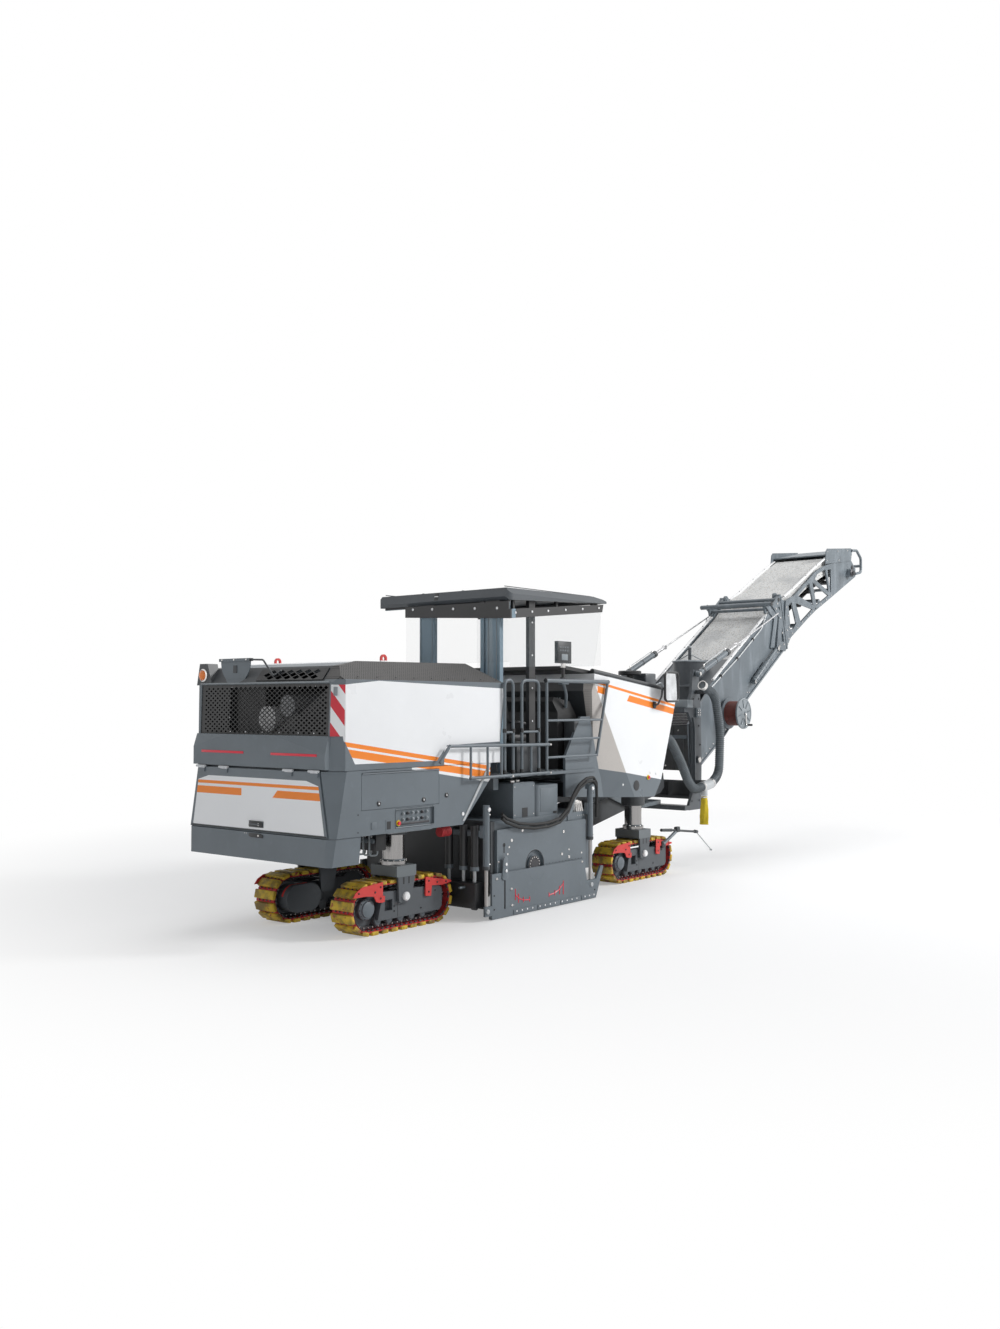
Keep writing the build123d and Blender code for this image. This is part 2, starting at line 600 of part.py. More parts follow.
def front_module():
    """Closed housing ahead of the platform, open below, with the front column sleeves inside."""
    outer = side_slab(MODULE_SIDE, -BODY_HALF_WIDTH, BODY_HALF_WIDTH)
    inner_side = [(960, 3030), (2800, 2800), (3030, 2680), (2600, 1500), (2480, 1200), (1300, 1200),
                  (1190, 1720),
                  (950, 2850)]
    inner = side_slab(inner_side, -1060, 1060)
    cut = crease_cut()
    shell = outer - inner - cut - cut.mirror(Plane.XZ)
    for _, column_x, column_y, _ in CORNERS[2:]:
        shell -= bar((column_x, column_y, 1100), (column_x, column_y, 1885), SLEEVE_RADIUS + 4)
    shell -= block((2500, 3200), (-480, 480), (1150, 1620))
    shell -= block((1000, 1400), (-480, 480), (1150, 1570))
    return shell


nodes["front_module"] = front_module()
MODULE_COVER = [(400, 3190), (910, 3145), (2830, 2915), (2820, 2865), (910, 3095), (400, 3140)]
nodes["front_cover"] = side_slab(MODULE_COVER, -1150, 1150)


def platform():
    """Deck between hood and front module, its cross bearers and the skirt below it."""
    pieces = [block((-1160, 1000), (-1240, 1240), (DECK - 40, DECK))]
    pieces.append(block((-1160, -1060), (-1150, 1150), (1570, DECK - 40)))
    skirt = [(300, 1400), (300, 1950), (660, 2490), (880, 2490), (1110, 1700), (1270, 1340)]
    for side in (-1, 1):
        pieces.append(side_slab(skirt, *sorted((side * 1180, side * 1220))))
    return joined(*pieces) - front_module_clearance()


def front_module_clearance():
    outline = [(905, 3300), (3200, 3300), (3200, 1000), (1290, 1000), (1125, 1720), (885, 2850)]
    return side_slab(outline, -BODY_HALF_WIDTH, BODY_HALF_WIDTH)


nodes["platform_deck"] = platform()


def side_boxes():
    """Plain tank box and the bulged box beside it, on the drum housing."""
    bulged = block((-480, 20), (-1320, -560), (1200, 1600))
    bulged = fillet(bulged.edges().filter_by(Axis.Z).group_by(Axis.Y)[0], 60)
    return joined(block((-930, -480), (-1290, -560), (1200, 1640)), bulged)


nodes["side_tanks"] = apart(*both_sides(side_boxes()))
CONSOLE_SIDE = [(420, DECK), (420, 2550), (300, 2700), (330, 2760), (700, 2700), (860, 2500), (870, DECK)]
nodes["control_console"] = apart(
    side_slab(CONSOLE_SIDE, -1000, 1000),
    joined(block((150, 470), (-1200, -1150), (3220, 3520)),
           bar((310, -1175, 2990), (310, -1175, 3230), 22)),
)


def operator_seat(side):
    y = side * 700
    return joined(
        block((-420, -120), (y - 90, y + 90), (DECK, 2150)),
        block((-540, -60), (y - 240, y + 240), (2150, 2260)),
        side_slab([(-540, 2200), (-440, 2220), (-560, 2800), (-640, 2780)], y - 230, y + 230),
    )


nodes["operator_seats"] = apart(operator_seat(-1), operator_seat(1))


RAIL_Y = 1312                       # hoops and the high rails
LOW_RAIL_Y = 1356                   # low guard, outboard of the hoops
RAIL_FOOT_Y = 1242
# bent hoops: first post, second post, foot height, top height
HOOPS = [(-1130, -960, 1740, 2970), (-780, -420, 1740, 2970)]
# runs along the platform's edge: start x, z, end x, z, radius
HIGH_RUNS = [(-260, 2975, 1190, 2975, 28), (-245, 1740, -245, 2980, 20), (-245, 2445, 1045, 2445, 16),
             (-245, 2190, 980, 2190, 16), (-245, 1955, 915, 1955, 16), (1190, 2970, 910, 1940, 20)]
# runs of the low guard beside the hood and the gate: start x, z, end x, z, radius
LOW_RUNS = [(-2230, 2160, -245, 2130, 20), (-1850, 1760, -245, 1760, 20), (-2230, 2160, -2400, 1965, 20),
            (-1840, 1760, -1840, 2155, 16), (-1520, 1760, -1520, 2150, 16), (-1250, 1760, -1250, 2145, 16),
            (-640, 1760, -640, 2135, 16)]


def rail_foot(side, x, reach):
    return block((x - 25, x + 25), mirrored_y(side, RAIL_FOOT_Y, reach), (1725, 1775))


def gate_hoops(side):
    """Two bent hoops at the access gate, each with a cross bar."""
    hoops = []
    y = side * RAIL_Y
    for x0, x1, foot, top in HOOPS:
        hoop = bent_tube([(x0, y, foot), (x0, y, top), (x1, y, top), (x1, y, foot)], 20, 80)
        cross_bar = bar((x0, y, 2305), (x1, y, 2305), 15)
        hoops.append(joined(hoop, cross_bar, rail_foot(side, x0, RAIL_Y), rail_foot(side, x1, RAIL_Y)))
    return hoops


def guard_rails(side):
    """Straight tubes along the platform's edge and, clamped outside them, the low guard behind the gate."""
    tubes = []
    for runs, reach in ((HIGH_RUNS, RAIL_Y), (LOW_RUNS, LOW_RAIL_Y)):
        y = side * reach
        tubes += [bar((x0, y, z0), (x1, y, z1), radius) for x0, z0, x1, z1, radius in runs]
    for z in (1760, 2130):
        tubes.append(block((-262, -228), mirrored_y(side, RAIL_Y, LOW_RAIL_Y), (z - 16, z + 16)))
    return joined(*tubes, rail_foot(side, -245, RAIL_Y), rail_foot(side, -1045, LOW_RAIL_Y))


for side_name, side in SIDES:
    nodes[f"gate_hoops_{side_name}"] = apart(*gate_hoops(side))
    nodes[f"guard_rails_{side_name}"] = guard_rails(side)


def canopy_roof():
    """Thin hollow roof, rounded in plan, with bevelled sides and a long tapered nose."""
    low, high = CANOPY_ROOF
    profile = [(-860, low), (-902, low + 45), (-868, high - 18), (1130, high), (1330, high - 32),
               (1425, high - 72),
               (1398, low + 92)]
    room = [(-820, low - 40), (-820, high - 55), (1120, high - 45), (1330, high - 75), (1330, low - 40)]
    section = [(-1190, 3900), (-1190, low + 85), (-1110, high + 5), (1110, high + 5), (1190, low + 85),
               (1190, 3900)]
    plan = block((-920, 1440), (-1190, 1190), (3900, 4300))
    plan = fillet(plan.edges().filter_by(Axis.Z), 130)
    roof = side_slab(profile, -1190, 1190) & cross_slab(section, -950, 1450) & plan
    return roof - side_slab(room, -1120, 1120)


REAR_POST_Y = [(140, 400), (-750, -690), (-1020, -780)]
SIDE_SKIRT = [(-900, 3770), (1190, 3970), (1220, 4080), (-900, 3890)]
REAR_SKIRT = [(-1190, 3772), (650, 3860), (650, 4005), (-1190, 3995)]


def canopy_frame():
    """Posts, sloping header rails and the dark skirts that clamp the panes."""
    low = CANOPY_ROOF[0]
    pieces = []
    for y in REAR_POST_Y:
        pieces.append(block((-872, -800), y, (DECK, low - 1)))
    pieces.append(block((-818, -785), (-1119, 1119), (low - 30, low + 60)))
    pieces.append(block((1230, 1300), (-1119, 1119), (low + 80, low + 105)))
    for side in (-1, 1):
        header = [(-815, low + 15), (1300, low + 80), (1300, low + 105), (-815, low + 90)]
        pieces.append(side_slab(header, *mirrored_y(side, 1050, 1119)))
    pieces.append(block((-375, -245), (-1119, -1065), (DECK, low + 60)))
    pieces.append(side_slab(SIDE_SKIRT, -1225, -1190))
    for x in (-700, 250, 1120):
        level = 3890 + (x + 900) * 0.0896
        pieces.append(block((x - 20, x + 20), (-1225, -1080), (level - 40, level - 10)))
        pieces.append(block((x - 20, x + 20), (-1119, -1080), (level - 40, low + 95)))
    pieces.append(cross_slab(REAR_SKIRT, -900, -868))
    pieces.append(block((1212, 1236), (-1119, 1119), (3975, 4060)))
    for y in (-1085, 0, 1085):
        pieces.append(block((1216, 1245), (y - 20, y + 20), (4040, low + 90)))
    return joined(*pieces)


nodes["canopy_roof"] = canopy_roof()
nodes["canopy_frame"] = canopy_frame()
SIDE_PANE = [(-895, 3770), (1185, 3969), (1000, 3190), (-895, 3145)]
REAR_PANE = [(-1190, 3205), (640, 3205), (640, 3859), (-1190, 3772)]
FRONT_PANE = [(-1190, 3210), (1119, 3210), (1119, 3973), (-1190, 3973)]
nodes["canopy_panes"] = apart(side_slab(SIDE_PANE, -1214, -1202), cross_slab(REAR_PANE, -892, -880),
                              cross_slab(FRONT_PANE, 1190, 1202))

mirror_head = block((2560, 2910), (-1470, -1430), (2730, 3140))
mirror_arm = bent_tube([(2470, -1282, 2650), (2470, -1350, 2650), (2480, -1430, 2900),
                        (2700, -1440, 2900)], 14, 25)
nodes["mirrors"] = apart(*both_sides(joined(mirror_head, mirror_arm)))


# ---------------------------------------------------------------- primary conveyor and the loading mount
PRIMARY_TAIL = (770, 500)           # x, z of the lower face at the drum housing's mouth
PRIMARY_HEAD = (4200, 1190)
PRIMARY_HALF_WIDTH = 320
PRIMARY_DEPTH = 330


def primary_conveyor():
    """Trough that lifts the millings from the drum to the loading conveyor."""
    x0, z0 = PRIMARY_TAIL
    x1, z1 = PRIMARY_HEAD
    outline = [(x0, z0), (x1, z1), (x1 + 130, z1 + 90), (x1 + 100, z1 + PRIMARY_DEPTH),
               (x0, z0 + PRIMARY_DEPTH)]
    trough = side_slab(outline, -PRIMARY_HALF_WIDTH, PRIMARY_HALF_WIDTH)
    room = [(x0 - 20, z0 + 90), (x1 + 200, z1 + 130), (x1 + 200, z1 + PRIMARY_DEPTH + 200),
            (x0 - 20, z0 + PRIMARY_DEPTH + 60)]
    return trough - side_slab(room, -PRIMARY_HALF_WIDTH + 30, PRIMARY_HALF_WIDTH - 30)


nodes["primary_conveyor"] = primary_conveyor()


def conveyor_mount():
    """Nose that carries the slewing yoke on an upper and a lower tongue."""
    pieces = []
    for side in (-1, 1):
        cheek = [(2530, 1240), (2530, 1555), (2690, 1560), (3080, 2520), (3560, 2520), (3560, 2380),
                 (3330, 1700), (3560, 1100),
                 (3560, 985), (3300, 985)]
        pieces.append(side_slab(cheek, *sorted((side * 335, side * 370))))
    upper = [(3035, -370), (3560, -370), (4330, -190), (4560, -110), (4560, 110), (4330, 190), (3560, 370),
             (3035, 370)]
    lower = [(3500, -370), (3560, -370), (4330, -190), (4560, -110), (4560, 110), (4330, 190), (3560, 370),
             (3500, 370)]
    pieces.append(flat_slab(upper, 2440, 2520))
    pieces.append(flat_slab(lower, 985, 1045))
    nose = joined(*pieces)
    nose -= side_slab([(2000, 1561), (2682, 1561), (3100, 2710), (2820, 2860), (2000, 2900)], -1300, 1300)
    return nose - bar((SLEW_X, 0, 900), (SLEW_X, 0, 2600), 61)


nodes["conveyor_mount"] = conveyor_mount()


def slew_yoke():
    """Turning yoke: an arm each side of the conveyor's tail, tied above and below the nose."""
    pieces = []
    for side in (-1, 1):
        arm = [(4520, 900), (4900, 900), (4930, 1700), (4900, 2700), (4840, 3240), (4660, 3240),
               (4600, 2830), (4500, 2600),
               (4500, 2520), (4640, 2300), (4640, 1200), (4520, 1000)]
        pieces.append(side_slab(arm, *sorted((side * 640, side * 690))))
        pieces.append(bar((LUFF_PIVOT[0], side * 612, LUFF_PIVOT[1]),
                          (LUFF_PIVOT[0], side * 720, LUFF_PIVOT[1]), 60))
        pieces.append(bar((LUFF_CYLINDER_PIN[0], side * 640, LUFF_CYLINDER_PIN[1]),
                          (LUFF_CYLINDER_PIN[0], side * 780, LUFF_CYLINDER_PIN[1]), 24))
    pieces.append(block((4370, 4600), (-690, 690), (2526, 2600)))
    pieces.append(block((4370, 4600), (-690, 690), (905, 979)))
    pieces.append(bar((SLEW_X, 0, 2445), (SLEW_X, 0, 2560), 58))
    pieces.append(bar((SLEW_X, 0, 930), (SLEW_X, 0, 1040), 58))
    return joined(*pieces)


nodes["slew_yoke"] = slew_yoke()


# ---------------------------------------------------------------- loading conveyor, lower section
LOWER_SIDE = [(4690, 1500), (4760, 1450), (5880, 2090), (6770, 2750), (8250, 3690), (7990, 4660),
              (7600, 4350), (5500, 3045),
              (4660, 2330)]
LOWER_FLANGE = [(7700, 4500), (7960, 4690), (8010, 4720), (8278, 3720), (8225, 3670), (7880, 3705),
                (7965, 4310)]
LOWER_FLANGE_WINDOWS = [[(7925, 4500), (8062, 4520), (8040, 4415)],
                        [(8120, 4190), (8180, 3850), (8030, 3850)]]
FOLD_ARM = [(7440, 4490), (7470, 4575), (7965, 4335), (7775, 3715), (7640, 3715), (7795, 4265)]
# cross bars between the walls: x, z, radius, how far each side
LOWER_TIES = [(5100, 1750, 40, 575), (6000, 2280, 40, 575), (6900, 2950, 40, 575), (7700, 3450, 40, 575),
              (7460, 4525, 42, 740), (7560, 4440, 28, 610), (7960, 4640, 38, 640)]


def conveyor_lower():
    """Side walls of the lower section with their ties, hubs, folding flanges and raised cross tubes."""
    pieces = []
    for side in (-1, 1):
        wall = side_slab(LOWER_SIDE, *mirrored_y(side, *CONVEYOR_WALL))
        hub = bar((LUFF_PIVOT[0], side * 500, LUFF_PIVOT[1]), (LUFF_PIVOT[0], side * 700, LUFF_PIVOT[1]),
                  62)
        flange = side_slab(LOWER_FLANGE, *mirrored_y(side, 598, 640))
        for window in LOWER_FLANGE_WINDOWS:
            flange -= side_slab(window, *mirrored_y(side, 615, 650))
        rim = side_slab([(7960, 4680), (8010, 4720), (8278, 3720), (8225, 3670)],
                        *mirrored_y(side, 540, 640))
        ear = side_slab([(7500, 4350), (7780, 4520), (7730, 4580), (7430, 4560)],
                        *mirrored_y(side, 560, 600))
        pin = bar((FOLD_HINGE[0], side * 490, FOLD_HINGE[1]), (FOLD_HINGE[0], side * 640, FOLD_HINGE[1]),
                  30)
        pieces += [wall - hub, flange, rim, ear, pin, side_slab(FOLD_ARM, *mirrored_y(side, 598, 626))]
    for x, z, radius, reach in LOWER_TIES:
        pieces.append(bar((x, -reach, z), (x, reach, z), radius))
    return joined(*pieces)


def transfer_hood():
    """Round hopper over the belt's tail, on a sloping cover plate, with a short mast."""
    hopper = bar((HOPPER_X, 0, 2500), (HOPPER_X, 0, 3420), 300)
    hopper -= side_slab([(5300, 2460), (6200, 3063), (6200, 2400), (5300, 2400)], -600, 600)
    cover = side_slab([(5400, 2960), (6180, 3445), (6180, 3461), (5400, 2976)], -566, 566)
    mast = bar((HOPPER_X, 0, 3410), (HOPPER_X, 0, 3690), 30)
    return joined(hopper, cover, mast)


HOPPER_X = 5740
CARRYING_RUN = [(5060, 2150), (5480, 2400), (8020, 4010), (7980, 4130), (7750, 4080), (5420, 2520),
                (5000, 2280)]
TOP_COVER = [(6200, 3430), (7600, 4300), (7880, 4510), (7905, 4470), (7625, 4230), (6230, 3370)]
nodes["belt_lower"] = apart(side_slab(CARRYING_RUN, -BELT_HALF_WIDTH, BELT_HALF_WIDTH),
                            side_slab(TOP_COVER, -BELT_HALF_WIDTH, BELT_HALF_WIDTH))
nodes["transfer_hood"] = transfer_hood()


def cable_reel():
    """Hose reel on the right wall: two flanges, a drum and a crank."""
    x, y, z = REEL_CENTRE
    return joined(
        bar((x, y - 150, z), (x, y - 130, z), 270),
        bar((x, y + 130, z), (x, y + 150, z), 270),
        bar((x, y - 140, z), (x, y + 140, z), 190),
        bar((x, y - 180, z), (x, y - 140, z), 30),
    )


nodes["hose_reel"] = cable_reel()
reel_stub = bar((REEL_CENTRE[0], -644, REEL_CENTRE[2]), (REEL_CENTRE[0], -590, REEL_CENTRE[2]), 60)
nodes["conveyor_lower_frame"] = joined(conveyor_lower(), reel_stub)
fold_cylinder_pieces = []
for side in (-1, 1):
    y = side * 660
    fold_cylinder_pieces.append(bar((6890, y, 3070), (7400, y, 3421), 55))
    fold_cylinder_pieces.append(bar((7400, y, 3421), (7820, y, 3710), 30))
    fold_cylinder_pieces.append(bar((6890, side * 601, 3070), (6890, side * 700, 3070), 30))
    fold_cylinder_pieces.append(bar((7820, side * 601, 3710), (7820, side * 700, 3710), 30))
nodes["fold_cylinders"] = joined(*fold_cylinder_pieces)


# ---------------------------------------------------------------- luffing cylinders and their ropes
def along_rope(distance):
    """Point on the line from the cylinder's pin to the rope's eye."""
    run = Vector(LUFF_ROPE_EYE[0] - LUFF_CYLINDER_PIN[0], 0,
                 LUFF_ROPE_EYE[1] - LUFF_CYLINDER_PIN[1]).normalized()
    return (LUFF_CYLINDER_PIN[0] + run.X * distance, LUFF_CYLINDER_PIN[1] + run.Z * distance)


def luff_barrels():
    pieces = []
    for side in (-1, 1):
        y = side * 740
        x0, z0 = along_rope(0)
        xa, za = along_rope(40)
        x1, z1 = along_rope(1100)
        barrel = bar((xa, y, za), (x1, y, z1), 50)
        eye = bar((x0, y - 30, z0), (x0, y + 30, z0), 50)
        bore = bar((x0, y - 60, z0), (x0, y + 60, z0), 25)
        xb, zb = along_rope(100)
        x2, z2 = along_rope(1150)
        hollow = bar((xb, y, zb), (x2, y, z2), 29)
        pieces.append(joined(barrel, eye) - bore - hollow)
    return apart(*pieces)


def luff_rods():
    pieces = []
    full = math.dist(LUFF_CYLINDER_PIN, LUFF_ROPE_EYE)
    for side in (-1, 1):
        y = side * 740
        x0, z0 = along_rope(480)
        x1, z1 = along_rope(1450)
        x2, z2 = along_rope(1450)
        x3, z3 = along_rope(full - 90)
        pieces.append(joined(
            bar((x0, y, z0), (x1, y, z1), 28),
            bar((x1, y - 30, z1), (x1, y + 30, z1), 40),
            bar((x2, y, z2), (x3, y, z3), 14),
        ))
    return apart(*pieces)


nodes["luff_cylinders"] = luff_barrels()
nodes["luff_rods"] = luff_rods()


# ---------------------------------------------------------------- loading conveyor, upper section
UPPER_SIDE = [(8040, 4690), (8290, 4640), (8710, 4770), (9270, 5080), (9740, 5350), (10190, 5500),
              (10510, 5570),
              (11480, 5710), (11700, 5560), (11690, 5390), (10470, 4870), (9680, 4540), (9300,
                                                                                         4350), (8570,
                                                                                                 3960),
              (8300, 3715)]
UPPER_WINDOWS = [
    [(8500, 4100), (8470, 4570), (8600, 4640), (8800, 4240), (8660, 4120)],
    [(8775, 4640), (8995, 4270), (9530, 4555)],
    [(8880, 4780), (9400, 5075), (9590, 4650)],
    [(9545, 5110), (9725, 4650), (10300, 4885)],
    [(9660, 5170), (9780, 5285), (10170, 5415), (10340, 4960)],
    [(10270, 5410), (10430, 5440), (10440, 4960), (10410, 4945)],
]
MOTOR = (11290, 5430)               # x, z of the head roller's motor
# cross bars between the walls: x, z, radius
UPPER_TIES = [(8900, 4200, 40), (9900, 4750, 40), (10800, 5055, 30)]
HEAD_APRON = [(10290, 5710), (11390, 5925), (11410, 5780), (11428, 5780), (11420, 5950), (10290, 5735)]
HEAD_COVER = [(10140, 5520), (10190, 5790), (10250, 5845), (11430, 5970), (11500, 5915), (11430, 5700)]


def conveyor_upper():
    """Trussed side walls of the upper section, their ties and the folding flanges."""
    pieces = []
    for side in (-1, 1):
        wall = side_slab(UPPER_SIDE, *mirrored_y(side, *CONVEYOR_WALL))
        for window in UPPER_WINDOWS:
            wall -= side_slab(window, *mirrored_y(side, 550, 620))
        flange = side_slab([(8035, 4725), (8090, 4700), (8340, 3730), (8305, 3715)],
                           *mirrored_y(side, 540, 640))
        plate = [(8250, 4340), (8290, 4640), (8400, 4600), (8470, 4200), (8440, 3890), (8340, 3760),
                 (8270, 4000)]
        eye = bar((FOLD_HINGE[0], side * 500, FOLD_HINGE[1]), (FOLD_HINGE[0], side * 540, FOLD_HINGE[1]),
                  62)
        web = side_slab([(8035, 4670), (8200, 4670), (8070, 4770)], *mirrored_y(side, 500, 545))
        pieces += [wall, flange, side_slab(plate, *mirrored_y(side, 598, 628)), eye, web]
    for x, z, radius in UPPER_TIES:
        pieces.append(bar((x, -575, z), (x, 575, z), radius))
    bore = bar((FOLD_HINGE[0], -700, FOLD_HINGE[1]), (FOLD_HINGE[0], 700, FOLD_HINGE[1]), 34)
    return joined(*pieces) - bore


def head_guard():
    """Cover plates over the conveyor's head, the apron between them, the end hoops and the motor."""
    pieces = [side_slab(HEAD_APRON, -600, 600)]
    for side in (-1, 1):
        pieces.append(side_slab(HEAD_COVER, *mirrored_y(side, 598, 616)))
        y = side * 620
        hoop = bent_tube([(11450, y, 5925), (11720, y, 5950), (11938, y, 5800), (11938, y, 5500),
                          (11620, y, 5440)],
                         28, 80)
        pieces.append(hoop)
    pieces.append(bar((11940, -620, 5640), (11940, 620, 5640), 30))
    motor_x, motor_z = MOTOR
    pieces.append(bar((motor_x, -590, motor_z), (motor_x, -690, motor_z), 85))
    return pieces


upper_walls = conveyor_upper()
nodes["conveyor_upper_frame"] = upper_walls & block((7900, HEAD_START), (-800, 800), (3500, 6500))
nodes["conveyor_head"] = joined(upper_walls & block((HEAD_START, 12000), (-800, 800), (3500, 6500)),
                                *head_guard())
UPPER_BELT = [(8330, 4430), (9400, 4970), (10250, 5300), (11380, 5440), (11470, 5520), (11460, 5640),
              (11340, 5740),
              (10280, 5650), (9800, 5440), (9300, 5190), (8700, 4890), (8215, 4695)]
nodes["belt_upper"] = side_slab(UPPER_BELT, -BELT_HALF_WIDTH, BELT_HALF_WIDTH)


# ---------------------------------------------------------------- dust duct and sighting rod
def duct(points, bends):
    """Round duct along straight runs joined by arcs, one radius for each bend."""
    path = FilletPolyline(*points, radius=bends)
    return sweep(Plane(origin=path @ 0, z_dir=path % 0) * Circle(DUCT_RADIUS), path=path)


nodes["dust_hose"] = duct([(2960, DUCT_Y, 2300), (3420, DUCT_Y, 2080), (3730, DUCT_Y, 1730),
                           (3960, DUCT_Y, 1400),
                           (4140, DUCT_Y, 1278), (4372, DUCT_Y, 1309)], [400, 500, 260, 260])
duct_riser = duct([(4702, DUCT_Y, 1350), (4960, DUCT_Y, 1500), (5010, DUCT_Y, 2240), (4840, DUCT_Y, 2820),
                   (4400, DUCT_Y, 2980)], [200, 500, 320])
nodes["duct_riser"] = joined(
    duct_riser,
    bar((4380, DUCT_Y, 1310), (4720, DUCT_Y, 1355), 82),
    bar((4460, DUCT_Y, 1310), (4460, DUCT_Y, 1160), 60),
    block((4660, 4720), (-960, -692), (1320, 1400)),
    block((4720, 4780), (-960, -692), (2830, 2900)),
)
nodes["duct_sock"] = bar((4460, DUCT_Y, 1159), (4460, DUCT_Y, 680), 55)
nodes["sighting_rod"] = joined(
    bar((3500, -1010, 480), (3930, -1010, 670), 14),
    bar((3400, -1010, 680), (4540, -1010, 530), 16),
    bar((4540, -1010, 530), (5070, -1010, 230), 8),
)


# ---------------------------------------------------------------- written files
os.makedirs("parts", exist_ok=True)
for name, shape in nodes.items():
    export_step(Pos(FRAME_SHIFT, 0, 0) * shape, f"parts/{name}.step")
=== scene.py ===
import bpy
import math
from mathutils import Matrix, Vector


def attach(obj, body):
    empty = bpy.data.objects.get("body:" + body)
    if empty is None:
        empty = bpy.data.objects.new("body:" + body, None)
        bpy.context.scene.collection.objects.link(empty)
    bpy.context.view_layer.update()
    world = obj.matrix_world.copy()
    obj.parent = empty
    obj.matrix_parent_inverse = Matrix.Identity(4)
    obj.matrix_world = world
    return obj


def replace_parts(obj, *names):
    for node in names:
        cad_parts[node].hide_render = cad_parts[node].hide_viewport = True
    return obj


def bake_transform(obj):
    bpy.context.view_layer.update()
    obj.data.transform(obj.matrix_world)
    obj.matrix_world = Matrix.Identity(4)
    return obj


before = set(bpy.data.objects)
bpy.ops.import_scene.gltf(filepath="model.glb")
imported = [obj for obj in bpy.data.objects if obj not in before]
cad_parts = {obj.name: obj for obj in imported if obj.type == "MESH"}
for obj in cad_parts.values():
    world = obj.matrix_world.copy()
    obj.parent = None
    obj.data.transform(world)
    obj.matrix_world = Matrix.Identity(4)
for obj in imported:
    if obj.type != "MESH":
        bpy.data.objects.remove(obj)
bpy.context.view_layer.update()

# The frame's origin lies under the middle of the whole machine. Stations along X are easier to read from
# the middle of the wheelbase, so at() moves them.
MID = 3.940


def at(x, y, z):
    return Vector((x - MID, y, z))


# ---------------------------------------------------------------- camera, floor and light
def place_camera():
    camera_data = bpy.data.cameras.new("camera")
    camera = bpy.data.objects.new("camera", camera_data)
    bpy.context.scene.collection.objects.link(camera)
    bpy.context.scene.camera = camera
    camera_data.sensor_width = 36.0
    camera_data.lens = 32.47
    camera_data.clip_end = 300.0
    yaw = math.radians(39.176)
    pitch = math.radians(1.896)
    camera.location = at(-12.9456, -10.8635, 2.6614)
    camera.rotation_euler = (math.pi / 2 + pitch, 0.0, yaw - math.pi / 2)


def soft_lamp(name, place, aim, size, power):
    lamp_data = bpy.data.lights.new(name, "AREA")
    lamp_data.shape = "DISK"
    lamp_data.size = size
    lamp_data.energy = power
    lamp = bpy.data.objects.new(name, lamp_data)
    bpy.context.scene.collection.objects.link(lamp)
    lamp.location = place
    lamp.rotation_euler = (Vector(aim) - Vector(place)).to_track_quat("-Z", "Y").to_euler()


def background_rays(tree):
    """1 for the rays that show the background: seen straight, in gloss or through glass."""
    path = tree.nodes.new("ShaderNodeLightPath")
    either = tree.nodes.new("ShaderNodeMath")
    either.operation = "MAXIMUM"
    shows = tree.nodes.new("ShaderNodeMath")
    shows.operation = "MAXIMUM"
    tree.links.new(path.outputs["Is Camera Ray"], either.inputs[0])
    tree.links.new(path.outputs["Is Glossy Ray"], either.inputs[1])
    tree.links.new(either.outputs[0], shows.inputs[0])
    tree.links.new(path.outputs["Is Transmission Ray"], shows.inputs[1])
    return shows.outputs[0]


def light_scene():
    world = bpy.data.worlds.new("studio")
    bpy.context.scene.world = world
    world.use_nodes = True
    tree = world.node_tree
    tree.nodes.clear()
    output = tree.nodes.new("ShaderNodeOutputWorld")
    soft = tree.nodes.new("ShaderNodeBackground")
    soft.inputs["Color"].default_value = (0.95, 0.97, 1.0, 1.0)
    soft.inputs["Strength"].default_value = 0.40
    white = tree.nodes.new("ShaderNodeBackground")
    white.inputs["Color"].default_value = (1.0, 1.0, 1.0, 1.0)
    white.inputs["Strength"].default_value = 1.0
    mix = tree.nodes.new("ShaderNodeMixShader")
    tree.links.new(background_rays(tree), mix.inputs[0])
    tree.links.new(soft.outputs[0], mix.inputs[1])
    tree.links.new(white.outputs[0], mix.inputs[2])
    tree.links.new(mix.outputs[0], output.inputs["Surface"])
    soft_lamp("key", (14.0, -21.0, 17.0), (-1.0, 0, 1.5), 7.0, 6200.0)
    soft_lamp("fill", (-26.0, -2.0, 9.0), (-6, 0, 1.5), 14.0, 250.0)
    soft_lamp("top", (2.0, 4.0, 24.0), (0, 0, 1.0), 16.0, 2000.0)


